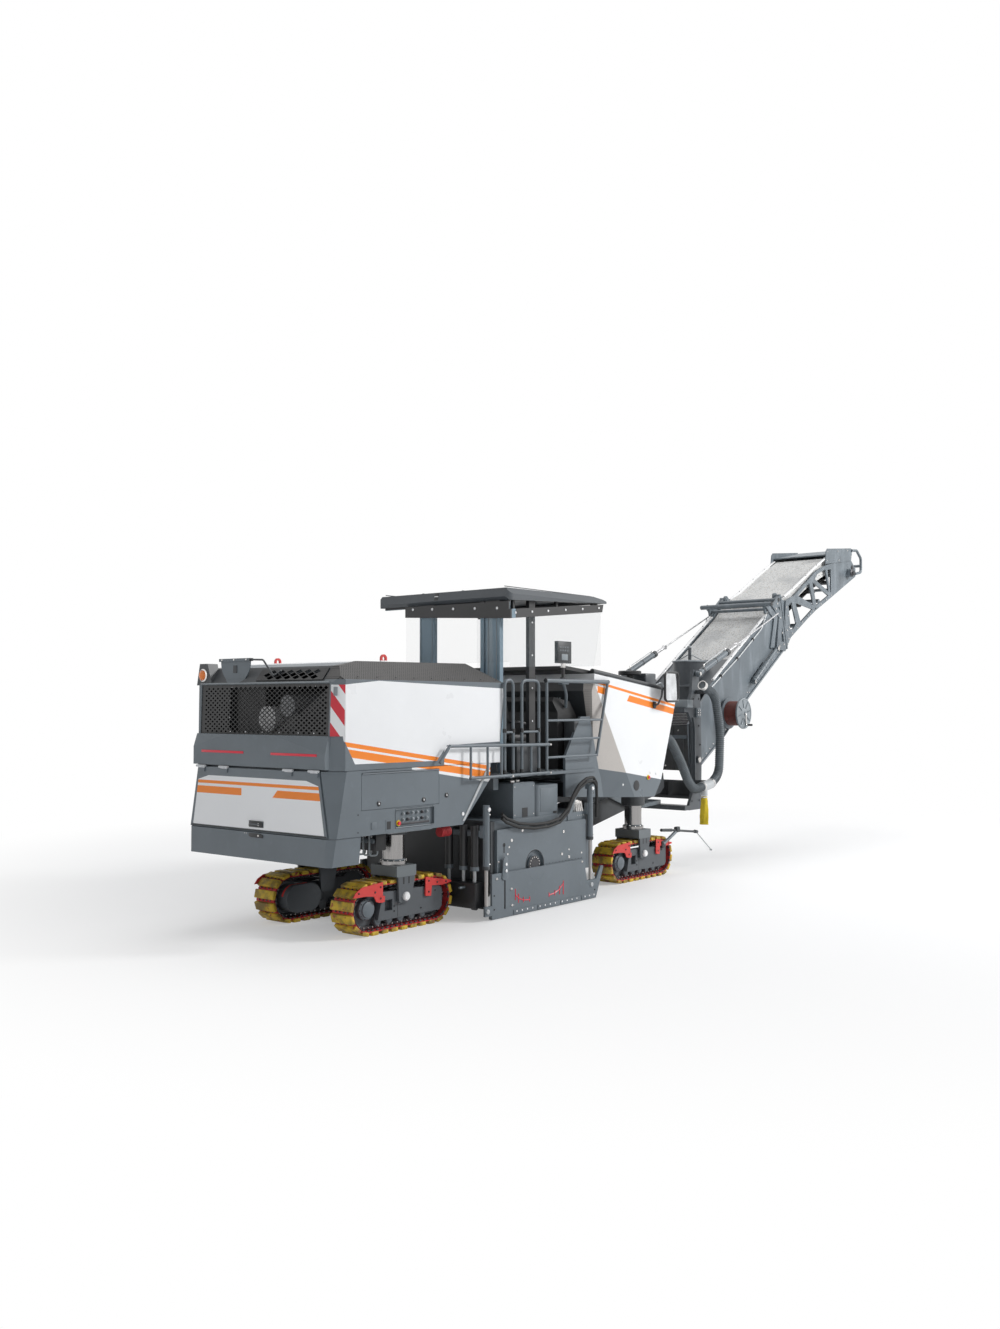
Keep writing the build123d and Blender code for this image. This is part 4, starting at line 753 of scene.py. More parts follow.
def repeated(piece, moves):
    """Copies of a piece, each with its own mesh, one for each move, joined in one."""
    copies = []
    for move in moves:
        copy = piece.copy()
        copy.data = piece.data.copy()
        copy.data.transform(move)
        bpy.context.scene.collection.objects.link(copy)
        copies.append(copy)
    bpy.data.objects.remove(piece)
    return fused(copies)


def mirrored(piece):
    """The piece and its mirror image on the machine's other side, joined."""
    image = piece.copy()
    image.data = piece.data.copy()
    image.data.transform(Matrix.Scale(-1.0, 4, (0.0, 1.0, 0.0)))
    image.data.flip_normals()
    bpy.context.scene.collection.objects.link(image)
    return fused([piece, image])


def painted(piece, finish):
    piece.data.materials.clear()
    piece.data.materials.append(finish)
    return piece


def pointed(axis):
    return Vector(axis).to_track_quat("Z", "Y").to_matrix().to_4x4()


def studs(places, axis, radius, height, finish, sides=6, tip=None):
    """One bolt head shaped at the origin, then set at each place with its top along the axis."""
    head = painted(rod(HERE, (MID, 0.0, height), radius, radius * 0.2, sides, tip), finish)
    return repeated(head, [Matrix.Translation(at(*place)) @ pointed(axis) for place in places])


def bolt_circle(x, y, z, radius, count):
    """Places round a centre on a side face, the first one ahead of it."""
    turns = [math.radians(360 / count * step) for step in range(count)]
    return [(x + radius * math.cos(turn), y, z + radius * math.sin(turn)) for turn in turns]


def spaced(start, end, count):
    """That many places in line, the first and last at the two ends."""
    start, end = Vector(start), Vector(end)
    return [tuple(start.lerp(end, step / (count - 1))) for step in range(count)]


def stop_button(x, y, z, disc_radius, knob_radius):
    """Yellow disc with a red mushroom knob on a face of the right side."""
    disc = turned((x, y, z), TO_RIGHT, [(0, 0), (disc_radius, 0), (disc_radius, 0.010), (0, 0.010)])
    knob = turned((x, y - 0.010, z), TO_RIGHT,
                  [(0, 0), (0.014, 0), (knob_radius, 0.008), (knob_radius - 0.002, 0.018), (0, 0.021)])
    return [painted(disc, lens_yellow), painted(knob, mark_red)]


def dress(piece, name, body, smooth=38.0):
    """Names a finished piece, smooths its shading and, unless it bends, gives it its body."""
    piece.name = name
    piece.data.name = name
    deselect()
    piece.select_set(True)
    bpy.context.view_layer.objects.active = piece
    bpy.ops.object.shade_smooth_by_angle(angle=math.radians(smooth))
    if body:
        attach(piece, body)
    return piece


# ---------------------------------------------------------------- tracks
SHOES = 26
FIRST_SHOE = 0.42                   # how far the first shoe lies along its pitch
TRACK_STRAIGHT = 1.125
TRACK_BEND_RADIUS = 0.305


def track_shoe():
    """One shoe at the origin, ground face at z = 0: pad, base, lugs, links and bolts."""
    parts = [painted(block((MID - 0.053, -0.174, 0.0), (MID + 0.053, 0.174, 0.046), 0.010), track_mustard)]
    parts.append(painted(block((MID - 0.077, -0.163, 0.036), (MID + 0.077, 0.163, 0.056), 0.003, 1),
                         track_red))
    for y in (-0.158, 0.158):
        for x in (-0.04, 0.04):
            lug = block((MID + x - 0.02, y - 0.013, 0.056), (MID + x + 0.02, y + 0.013, 0.074), 0.006, 1)
            parts.append(painted(lug, link_dark))
    for y in (-0.062, 0.062):
        link = block((MID - 0.079, y - 0.016, 0.058), (MID + 0.079, y + 0.016, 0.110), 0.010, 1)
        parts.append(painted(link, link_dark))
    gap_bolts = [(MID + 0.066, y, 0.035) for y in (-0.10, -0.035, 0.035, 0.10)]
    parts.append(studs(gap_bolts, (0, 0, -1), 0.011, 0.012, link_dark))
    for side in (-1, 1):
        places = [(MID + x, side * 0.078, 0.084) for x in (-0.035, 0.035)]
        parts.append(studs(places, (0, side, 0), 0.012, 0.012, bolt_bright))
    return fused(parts)


def shoe_moves(x, y):
    """Where the shoes lie: along the top run and round the front bend, then the same turned half round."""
    half_loop = TRACK_STRAIGHT + math.pi * TRACK_BEND_RADIUS
    bend_reach = TRACK_BEND_RADIUS - 0.005
    moves = []
    for shoe in range(SHOES):
        half, run = divmod((shoe + FIRST_SHOE) * 2 * half_loop / SHOES, half_loop)
        lean = max(0.0, run - TRACK_STRAIGHT) / TRACK_BEND_RADIUS
        if lean:
            place = Vector((TRACK_STRAIGHT / 2 + bend_reach * math.sin(lean), 0, bend_reach * math.cos(lean)))
        else:
            place = Vector((run - TRACK_STRAIGHT / 2, 0, TRACK_BEND_RADIUS))
        local = Matrix.Translation(place) @ Matrix.Rotation(lean + math.pi, 4, "Y")
        hub = Matrix.Translation(at(x, y, TRACK_BEND_RADIUS))
        moves.append(hub @ Matrix.Rotation(half * math.pi, 4, "Y") @ local)
    return moves


def track_chain(corner, x, y):
    """The loop of shoes round one track frame."""
    chain = dress(repeated(track_shoe(), shoe_moves(x, y)), f"shoes_{corner}", f"undercarriage_{corner}")
    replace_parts(chain, f"track_chain_{corner}")


def track_fittings(corner, x, y, out):
    """Hub cap, roller caps, guard bolts, the cheek's pivot and slots, and a seam in the plate."""
    plate_y, cheek_y, guard_y = y + out * 0.168, y + out * 0.212, y + out * 0.194
    outward = (0, out, 0)
    hub = (x - 0.5625, y + out * 0.10, 0.305)
    cap = turned(hub, outward, [(0, 0), (0.125, 0), (0.125, 0.02), (0.108, 0.034), (0.098, 0.034),
                                (0.092, 0.052), (0.06, 0.062), (0, 0.064)], 32)
    parts = [painted(cap, slate)]
    hub_bolts = bolt_circle(hub[0], hub[1] + out * 0.022, hub[2], 0.114, 10)
    parts.append(studs(hub_bolts, outward, 0.008, 0.010, bolt_dark))
    for roller in range(5):
        roller_hub = (x - 0.38 + roller * 0.19, y + out * 0.110, 0.150)
        roller_cap = turned(roller_hub, outward, [(0, 0), (0.052, 0), (0.052, 0.01), (0.03, 0.02), (0, 0.02)])
        parts.append(painted(roller_cap, slate))
    guard_bolts = [(-0.76, 0.515), (-0.50, 0.50), (-0.41, 0.55), (-0.41, 0.42), (0.41, 0.53), (0.41, 0.40),
                   (0.56, 0.50), (0.72, 0.49)]
    parts.append(studs([(x + dx, guard_y, z) for dx, z in guard_bolts], outward, 0.013, 0.009, bolt_dark))
    pivot = turned((x - 0.01, cheek_y, 0.40), outward,
                   [(0, 0), (0.052, 0), (0.052, 0.02), (0.040, 0.034), (0, 0.038)])
    parts.append(painted(pivot, cap_white))
    slot_low, slot_high = sorted((cheek_y, cheek_y + out * 0.0015))
    for dx in (-0.045, 0.045):
        slot = block((x + dx - 0.012, slot_low, 0.545), (x + dx + 0.012, slot_high, 0.625), 0.0004, 1)
        parts.append(painted(slot, bolt_dark))
    seam_low, seam_high = sorted((plate_y, plate_y + out * 0.0015))
    seam = block((x - 0.105, seam_low, 0.17), (x - 0.099, seam_high, 0.455), 0.0004, 1)
    parts.append(painted(seam, bolt_dark))
    plate_bolts = [(-0.16, 0.30), (-0.16, 0.24), (0.30, 0.22), (0.55, 0.40)]
    parts.append(studs([(x + dx, plate_y, z) for dx, z in plate_bolts], outward, 0.012, 0.008, bolt_dark))
    dress(fused(parts), f"track_fittings_{corner}", f"undercarriage_{corner}")


def column_fittings(corner, x, y):
    """Flange bolts and a dirt wiper below, and the seal ring where the leg leaves its sleeve."""
    ring = [(x + 0.146 * math.cos(turn), y + 0.146 * math.sin(turn), 0.805)
            for turn in (math.radians(30 * step + 15) for step in range(12))]
    parts = [studs(ring, UP, 0.011, 0.013, bolt_bright)]
    foot = turned((x, y, 0.806), UP,
                  [(0.129, 0), (0.137, 0), (0.137, 0.014), (0.1305, 0.022), (0.129, 0.022), (0.129, 0)], 32)
    parts.append(painted(foot, slate))
    dress(fused(parts), f"column_bolts_{corner}", f"column_{corner}")
    seal = turned((x, y, 1.118), UP,
                  [(0.134, 0), (0.172, 0), (0.176, 0.006), (0.176, 0.031), (0.134, 0.031), (0.134, 0)], 32)
    dress(painted(seal, charcoal), f"column_seal_{corner}", "chassis")


for corner_name, (column_x, column_y, outboard) in CORNERS.items():
    track_chain(corner_name, column_x, column_y)
    track_fittings(corner_name, column_x, column_y, outboard)
    column_fittings(corner_name, column_x, column_y)


# ---------------------------------------------------------------- tail, hood and lower body
def tail_fittings():
    """Bumper latch, reflector strips, hazard board, lamp, grille bolts and the bright edge above them."""
    bumper = -4.0505
    latch = slab([(bumper, 0.104, 1.150), (bumper, 0.104, 1.186), (bumper, -0.10, 1.186),
                  (bumper, -0.146, 1.170), (bumper, -0.146, 1.139), (bumper, 0.06, 1.139)], (-0.008, 0, 0),
                 0.003)
    parts = [painted(latch, bolt_dark),
             studs([(-4.058, -0.07, 1.163)], TO_REAR, 0.012, 0.006, bolt_bright, 12)]
    small_bolts = [(-4.050, 0.15, 1.180), (-4.050, 0.18, 1.180)]
    parts.append(studs(small_bolts, TO_REAR, 0.006, 0.004, bolt_bright, 12))
    for y0, y1, z in ((0.22, 1.0, 2.104), (-1.03, -0.265, 2.100)):
        strip = block((-4.0515, y0, z - 0.014), (-4.0455, y1, z + 0.014), 0.002)
        parts.append(painted(strip, mark_red))
    board = slab([(-3.9805, -1.166, 2.310), (-3.8705, -1.276, 2.310), (-3.8535, -1.276, 2.875),
                  (-3.9635, -1.166, 2.875)], (-0.005, -0.005, 0), 0.002)
    parts.append(painted(board, hazard_bands))
    clip = slab([(-3.958, -1.196, 2.755), (-3.926, -1.228, 2.755), (-3.923, -1.228, 2.850),
                 (-3.955, -1.196, 2.850)], (-0.012, -0.012, 0), 0.006)
    parts.append(painted(clip, trim_grey))
    lamp_hub = (-3.948, 1.105, 3.010)
    bezel = turned(lamp_hub, TO_REAR,
                   [(0, 0), (0.078, 0), (0.078, 0.012), (0.066, 0.022), (0.060, 0.010), (0, 0.010)], 28)
    dome = turned(lamp_hub, TO_REAR, [(0, 0.010), (0.058, 0.010), (0.052, 0.030), (0.032, 0.046), (0, 0.052)],
                  24)
    parts += [painted(bezel, bolt_bright), painted(dome, lens_orange)]
    sheet_x, foot_z, lean = -3.9505, 2.312, 0.031
    rows = [(z, y) for z in (2.338, 2.868) for y in (1.10, 0.86, 0.58, 0.30, 0.0, -0.30, -0.62, -0.88, -1.10)]
    rows += [(z, y) for z in (2.50, 2.70) for y in (1.10, 0.60, -1.10)]
    rim = [(sheet_x + (z - foot_z) * lean, y, z) for z, y in rows]
    parts.append(studs(rim, (-1, 0, 0.03), 0.011, 0.007, cap_white, 12))
    edge = tube([(-3.962, 1.135, 2.906), (-3.962, -1.135, 2.906)], 0.009, 0)
    parts.append(painted(edge, trim_grey))
    bracket_bolts = [(-3.9255, y, 3.186) for y in (0.33, 0.555, 0.78)]
    parts.append(studs(bracket_bolts, TO_REAR, 0.012, 0.008, bolt_bright))
    parts.append(painted(block((-3.912, 0.52, 3.03), (-3.9045, 0.59, 3.12), 0.003), charcoal))
    dress(fused(parts), "tail_fittings", "chassis")


def tail_door_fittings():
    """Dark latch body with its bright key plate, and the dark line along the frame's foot."""
    face = -4.0545
    latch = slab([(face, 0.104, 1.270), (face, 0.090, 1.329), (face, -0.10, 1.329), (face, -0.146, 1.305),
                  (face, -0.135, 1.257), (face, 0.08, 1.257)], (-0.007, 0, 0), 0.003)
    parts = [painted(latch, bolt_dark),
             studs([(-4.061, -0.075, 1.291)], TO_REAR, 0.016, 0.008, bolt_bright, 16)]
    rail = block((-4.0498, -1.19, 1.2165), (-4.0462, 1.19, 1.2265), 0.0015, 1)
    parts.append(painted(rail, bolt_dark))
    dress(fused(parts), "tail_door_latch", "tail_door")


def side_lock(x, z, y=SIDE_FACE):
    """Round black quarter-turn lock with a pale middle, as a list of its two parts."""
    body = turned((x, y, z), TO_RIGHT,
                  [(0, 0), (0.030, 0), (0.030, 0.006), (0.018, 0.010), (0.016, 0.005), (0, 0.005)])
    middle = turned((x, y, z), TO_RIGHT, [(0, 0.004), (0.011, 0.004), (0.009, 0.011), (0, 0.012)], 12)
    return [painted(body, bolt_dark), painted(middle, cap_white)]


def lower_body_fittings():
    """Couplings in the recess, hatches, a lock and a pipe on the right; cover strips on both sides."""
    parts = []
    recess = -1.2575
    plug_profile = [(0, 0), (0.019, 0), (0.019, 0.014), (0.013, 0.016), (0.013, 0.026), (0.007, 0.030),
                    (0, 0.030)]
    for x in (-2.93, -2.85, -2.77, -2.69, -2.61, -2.53):
        for z in (1.405, 1.335):
            finish = trim_grey if round(x * 100) % 3 else link_dark
            parts.append(painted(turned((x, recess, z), TO_RIGHT, plug_profile, 16), finish))
    parts.append(painted(block((-2.98, -1.262, 1.275), (-2.48, -1.256, 1.300), 0.002), link_dark))
    parts += stop_button(-3.005, recess, 1.300, 0.034, 0.023)
    frame_line = [(-3.07, SIDE_FACE, 1.25), (-2.42, SIDE_FACE, 1.25), (-2.42, SIDE_FACE, 1.46),
                  (-3.07, SIDE_FACE, 1.46), (-3.07, SIDE_FACE, 1.25)]
    parts.append(painted(tube(frame_line, 0.007, 0), slate))
    parts.append(painted(block((-3.235, -1.2835, 1.225), (-3.125, -1.2795, 1.355), 0.0015, 1), slate))
    parts.append(painted(block((-3.215, -1.2855, 1.245), (-3.150, -1.2825, 1.335), 0.001, 1), bolt_dark))
    parts.append(painted(block((-3.46, -1.2870, 1.262), (-3.375, -1.2795, 1.342), 0.004), slate))
    parts.append(studs([(-3.66, -1.28, 1.44), (-3.66, -1.28, 1.245)], TO_RIGHT, 0.009, 0.003, bolt_dark, 12))
    parts += side_lock(-2.20, 1.575)
    parts.append(studs([(-1.905, -1.281, 1.33)], TO_RIGHT, 0.024, 0.012, cap_white, 16))
    pipe = tube([(-3.10, -1.18, 1.186), (-2.35, -1.18, 1.186), (-2.28, -1.18, 1.22)], 0.011, 0.03)
    parts.append(painted(pipe, trim_grey))
    dress(fused(parts), "lower_body_fittings", "chassis")
    strip = slab([(-1.915, SIDE_FACE, 1.245), (-1.875, SIDE_FACE, 1.245), (-1.385, SIDE_FACE, 1.88),
                  (-1.385, SIDE_FACE, 1.925), (-1.405, SIDE_FACE, 1.925)], (0, -0.010, 0), 0.003)
    dress(mirrored(painted(strip, trim_silver)), "cover_strips", "chassis")


def service_door_fittings(side_name, side):
    """Two locks on one service door."""
    parts = []
    for x in (-3.34, -2.60):
        lock = fused(side_lock(x, 1.545))
        if side > 0:
            lock.data.transform(Matrix.Scale(-1.0, 4, (0.0, 1.0, 0.0)))
            lock.data.flip_normals()
        parts.append(lock)
    dress(fused(parts), f"door_locks_{side_name}", f"service_door_{side_name}")


def hood_fittings():
    """Bolts along the roof's two edges, the exhaust stub and two filler caps."""
    bolts = []
    for side in (-1, 1):
        bolts += spaced((-3.66, side * 1.268, 2.962), (-1.25, side * 1.268, 2.962), 9)
    parts = [studs(bolts, UP, 0.010, 0.008, bolt_dark)]
    stack = turned((-2.05, 0.35, 3.165), UP,
                   [(0, 0), (0.15, 0), (0.15, 0.008), (0.085, 0.016), (0.085, 0.020), (0.070, 0.020),
                    (0.070, 0.004), (0, 0.004)], 32)
    parts.append(painted(stack, link_dark))
    for x, y in ((-1.75, -0.62), (-2.55, -0.3)):
        cap = turned((x, y, 3.160), UP, [(0, 0), (0.09, 0), (0.09, 0.012), (0.06, 0.020), (0, 0.022)], 28)
        parts.append(painted(cap, bolt_dark))
    dress(fused(parts), "hood_fittings", "chassis")


tail_fittings()
tail_door_fittings()
lower_body_fittings()
for side_name, side in (("right", -1), ("left", 1)):
    service_door_fittings(side_name, side)
hood_fittings()


# ---------------------------------------------------------------- drum sides
def side_plate_fittings(side_name, face, out):
    """On one side plate: wear strip, depth scales, slot guide, rod, bolts, eyes, a fill below the hub."""
    outward = (0, out, 0)
    parts = []
    strip_face = face + out * 0.007
    low_y, high_y = sorted((face, strip_face))
    # each length of wear strip: where it starts and ends, its first and last bolt, how many bolts
    for start, end, first, last, count in ((-1.09, -0.61, -1.03, -0.705, 4), (-0.59, -0.11, -0.55, -0.219, 4),
                                           (-0.09, 0.36, -0.067, 0.267, 4), (0.38, 0.715, 0.456, 0.669, 3)):
        parts.append(painted(block((start, low_y, 0.012), (end, high_y, 0.078), 0.002), slate))
        places = spaced((first, strip_face, 0.056), (last, strip_face, 0.056), count)
        parts.append(studs(places, outward, 0.012, 0.006, cap_white, 12))
    bright = [(-1.131, 0.344), (-1.116, 0.139), (-1.42, 0.50), (0.40, 0.53)]
    parts.append(studs([(x, face, z) for x, z in bright], outward, 0.020, 0.020, bolt_bright, 12, 0.008))
    # depth scales and their curves, each a line of (x, z) points
    marks = [[(-1.052, 0.335), (-1.048, 0.196)], [(-0.988, 0.268), (-0.988, 0.155)],
             [(-0.887, 0.216), (-0.887, 0.149)], [(-0.76, 0.205), (-0.76, 0.14)],
             [(-1.05, 0.262), (-0.988, 0.215), (-0.89, 0.176), (-0.76, 0.167)],
             [(-0.345, 0.203), (-0.345, 0.149)], [(-0.219, 0.222), (-0.219, 0.154)],
             [(-0.114, 0.265), (-0.114, 0.155)], [(-0.031, 0.325), (-0.031, 0.144)],
             [(-0.345, 0.172), (-0.219, 0.185), (-0.114, 0.224), (-0.031, 0.29)]]
    mark_y = face + out * 0.0005
    gauges = [tube([(x, mark_y, z) for x, z in mark], 0.0065, 0, 1) for mark in marks]
    parts.append(painted(fused(gauges), mark_red))
    guide = slab([(-1.325, face, 0.50), (-1.300, face, 0.735), (-1.275, face, 0.760), (-1.240, face, 0.760),
                  (-1.212, face, 0.735), (-1.205, face, 0.50), (-1.235, face, 0.47), (-1.300, face, 0.47)],
                 (0, out * 0.013, 0), 0.004)
    parts.append(painted(guide, slate))
    guide_face, rod_y = face + out * 0.013, face - out * 0.012
    guide_bolts = [(-1.250, guide_face, z) for z in (0.665, 0.585)]
    parts.append(studs(guide_bolts, outward, 0.021, 0.011, cap_white, 16))
    parts.append(painted(rod((-1.26, rod_y, 0.12), (-1.26, rod_y, 0.50), 0.012), bolt_dark))
    dark = [(-1.47, 0.13), (-1.47, 0.30), (0.70, 0.12), (0.64, 0.22)]
    parts.append(studs([(x, face, z) for x, z in dark], outward, 0.012, 0.006, bolt_dark, 12))
    for x in (-1.6, 0.62):
        eye_z = 0.12 if x < 0 else 0.20
        eye = turned((x, face, eye_z), outward,
                     [(0, 0), (0.030, 0), (0.030, 0.014), (0.018, 0.020), (0, 0.020)])
        parts.append(painted(eye, trim_silver))
    hub_x, hub_z, hub_reach = -0.6, 0.59, 0.1895
    dip = math.asin((hub_z - 0.565) / hub_reach)
    fill = [(hub_x + hub_reach * math.cos(turn), face - out * 0.028, hub_z - hub_reach * math.sin(turn))
            for turn in (dip + (math.pi - 2 * dip) * step / 24 for step in range(25))]
    parts.append(painted(slab(fill, (0, out * 0.028, 0), 0.0005, 1), slate))
    dress(fused(parts), f"side_plate_fittings_{side_name}", f"side_plate_{side_name}")


def housing_fittings():
    """On the right drum cover: scattered bolts, the keyhole and the gearbox face in its round window."""
    face, outward = -1.384, TO_RIGHT
    bright = [(-0.86, 1.05), (-0.37, 1.065), (0.03, 0.965), (-1.08, 0.945), (-0.011, 0.672), (0.15, 0.62)]
    parts = [studs([(x, face, z) for x, z in bright], outward, 0.021, 0.0015, bolt_bright, 12)]
    plain = [(-1.13, 0.865), (-1.16, 0.78), (0.149, 0.718), (0.44, 0.648), (0.46, 0.53), (-1.34, 0.70)]
    parts.append(studs([(x, face, z) for x, z in plain], outward, 0.014, 0.0015, bolt_bright, 12))
    keyhole = turned((-1.232, face, 0.90), outward, [(0, 0), (0.026, 0), (0.026, 0.0015), (0, 0.0015)])
    slot_end = block((-1.243, face - 0.0015, 0.80), (-1.221, face, 0.90), 0.0005, 1)
    parts += [painted(keyhole, bolt_dark), painted(slot_end, bolt_dark)]
    hub = (-0.6, -1.372, 0.59)
    gear = turned(hub, outward, [(0, 0), (0.118, 0), (0.118, 0.006), (0.075, 0.006), (0.070, 0.011),
                                 (0, 0.011)], 32)
    parts.append(painted(gear, link_dark))
    parts.append(studs(bolt_circle(hub[0], -1.378, hub[2], 0.098, 15), outward, 0.010, 0.008, bolt_bright))
    rim = turned((hub[0], face, hub[2]), outward,
                 [(0.186, 0), (0.196, 0), (0.194, 0.002), (0.188, 0.002), (0.186, 0)], 40)
    parts.append(painted(rim, bolt_dark))
    hinge_line = spaced((-0.36, face, 0.577), (0.44, face, 0.577), 12)
    parts.append(studs(hinge_line, outward, 0.006, 0.0015, bolt_dark, 8))
    dress(fused(parts), "drum_cover_fittings", "chassis")


def behind_the_drum():
    """Three levelling cylinders between the rear tracks and the drum cover, a box, a rail and a hose."""
    parts = []
    line_x = -1.585
    for y, foot in ((-1.20, 0.16), (-1.02, 0.22), (-0.78, 0.20)):
        parts.append(painted(rod((line_x, y, 1.16), (line_x, y, 0.62), 0.050), bolt_dark))
        parts.append(painted(rod((line_x, y, 0.62), (line_x, y, foot + 0.03), 0.022), trim_silver))
        parts.append(painted(rod((line_x, y - 0.035, foot), (line_x, y + 0.035, foot), 0.045, 0.006),
                             charcoal))
        parts.append(painted(collar((line_x, y, 0.60), UP, 0.024, 0.056, 0, 0.05, 20), slate))
    parts.append(painted(block((-1.66, -1.28, 0.14), (-1.50, -0.60, 0.46), 0.02), bolt_dark))
    parts.append(painted(rod((-1.76, -1.10, 0.40), (-1.60, -1.10, 0.40), 0.016), slate))
    parts.append(painted(block((-1.575, -1.27, 1.02), (-1.50, -0.62, 1.09), 0.01), slate))
    hose = tube([(-1.54, -1.12, 1.06), (-1.60, -1.12, 0.85), (-1.55, -1.12, 0.50)], 0.014, 0.08)
    parts.append(painted(hose, rubber_black))
    dress(fused(parts), "levelling_cylinders", "chassis")


def barrel_fittings():
    """Top pins, unions and clamps on the four lifting barrels; valve block, pipes and a red coupling."""
    parts = []
    for y, out in ((-1.40, -1), (0.88, 1)):
        for x, bottom, top in ((-1.6, 0.64, 1.42), (0.62, 0.82, 1.56)):
            parts.append(studs([(x, y + out * 0.040, top - 0.05)], (0, out, 0), 0.026, 0.018, cap_white, 16))
            for z in (bottom + 0.05, top - 0.12):
                union = rod((x + 0.038, y, z), (x + 0.075, y, z), 0.012, 0.002, 12)
                parts.append(painted(union, bolt_bright))
            ring = turned((x, y, bottom - 0.012), UP,
                          [(0.024, 0), (0.044, 0), (0.046, 0.01), (0.046, 0.04), (0.0425, 0.045),
                           (0.0425, 0.012), (0.024, 0.012), (0.024, 0)])
            parts.append(painted(ring, charcoal))
    parts.append(painted(block((0.36, -1.30, 1.16), (0.54, -1.225, 1.30), 0.008), trim_silver))
    for step, x in enumerate((0.375, 0.42, 0.465, 0.51)):
        pipe = [(x, -1.305, 1.30), (x + 0.01, -1.315, 1.38 - 0.012 * step), (x + 0.035, -1.335, 1.14)]
        parts.append(painted(tube(pipe, 0.012, 0.025), bolt_bright))
        parts.append(painted(rod((x, -1.302, 1.16), (x, -1.302, 1.115), 0.015, 0.002, 6), bolt_bright))
    coupling = [(0, 0), (0.035, 0)]
    for rib in range(6):
        coupling += [(0.060, 0.004 + rib * 0.030), (0.060, 0.020 + rib * 0.030), (0.046, 0.024 + rib * 0.030)]
    coupling += [(0.035, 0.19), (0, 0.19)]
    parts.append(painted(turned((-2.02, -1.00, 1.10), (1, 0, 0), coupling, 20), track_red))
    parts.append(painted(rod((-1.93, -1.00, 1.15), (-1.93, -1.00, 1.34), 0.014), charcoal))
    dress(fused(parts), "lifting_fittings", "chassis")


def side_box_fittings():
    """Dark opening, lid, two caps, plates and bolts on the boxes beside the drum, right and left."""
    opening = painted(block((-0.748, -1.2935, 1.205), (-0.632, -1.2895, 1.325), 0.001, 1), bolt_dark)
    lid = painted(block((-0.915, -1.285, 1.638), (-0.495, -0.62, 1.652), 0.005), slate)
    parts = [opening, lid]
    for x, y in ((-0.80, -1.16), (-0.62, -1.10)):
        cap = turned((x, y, 1.650), UP, [(0, 0), (0.040, 0), (0.040, 0.022), (0.030, 0.034), (0, 0.036)], 20)
        parts.append(painted(cap, bolt_bright))
    parts.append(painted(block((-0.40, -1.3235, 1.25), (-0.06, -1.3185, 1.56), 0.002), slate))
    parts.append(painted(block((-0.12, -1.3255, 1.215), (-0.04, -1.3215, 1.245), 0.001, 1), bolt_dark))
    corner_bolts = [(x, -1.29, z) for x in (-0.90, -0.51) for z in (1.24, 1.60)]
    parts.append(studs(corner_bolts, TO_RIGHT, 0.010, 0.005, bolt_bright))
    dress(mirrored(fused(parts)), "side_box_fittings", "chassis")


def valve_cluster():
    """Valve block with its spools and rigid pipes, hung below the frame beside the rear right column."""
    parts = [painted(block((-3.03, -0.93, 0.955), (-2.86, -0.58, 1.155), 0.012), bolt_dark)]
    for y in (-0.88, -0.78, -0.68):
        parts.append(painted(rod((-3.05, y, 1.07), (-2.84, y, 1.07), 0.030), slate))
        pipe = tube([(-2.96, y, 0.96), (-2.96, y, 0.90), (-3.06, y + 0.03, 0.90), (-3.06, y + 0.03, 1.15)],
                    0.011, 0.03)
        parts.append(painted(pipe, trim_grey))
    spool_caps = [(-3.032, y, 1.12) for y in (-0.86, -0.76, -0.66)]
    parts.append(studs(spool_caps, TO_REAR, 0.014, 0.012, bolt_bright))
    dress(fused(parts), "valve_block_rear_right", "chassis")


side_plate_fittings("right", -1.42, -1)
side_plate_fittings("left", 0.90, 1)
housing_fittings()
behind_the_drum()
valve_cluster()
barrel_fittings()
side_box_fittings()


# ---------------------------------------------------------------- platform, seats and canopy
def crowned_pad(low, high, channels, along):
    """A padded block: swollen faces, pulled-in corners and channels sewn across its two broad faces."""
    low, high = at(*low), at(*high)
    deselect()
    bpy.ops.mesh.primitive_cube_add(size=1.0)
    pad = bpy.context.active_object
    opened()
    bpy.ops.mesh.subdivide(number_cuts=15)
    bpy.ops.transform.tosphere(value=0.20)
    bpy.ops.object.mode_set(mode="OBJECT")
    for channel in channels:
        for vertex in pad.data.vertices:
            if abs(vertex.co[along] - channel) < 0.02:
                vertex.co.z *= 0.90
    reach = max(abs(vertex.co[0]) for vertex in pad.data.vertices) * 2
    pad.data.transform(Matrix.Diagonal((*((high - low) / reach), 1.0)))
    pad.data.transform(Matrix.Translation((low + high) / 2))
    bpy.ops.object.modifier_add(type="SUBSURF")
    pad.modifiers[-1].levels = 1
    pad.modifiers[-1].render_levels = 1
    bpy.ops.object.modifier_apply(modifier=pad.modifiers[-1].name)
    return pad


def leaned(piece, pivot, angle):
    """The piece turned about the cross axis through a pivot."""
    pivot = at(*pivot)
    turn = Matrix.Translation(pivot) @ Matrix.Rotation(angle, 4, "Y") @ Matrix.Translation(-pivot)
    piece.data.transform(turn)
    return piece


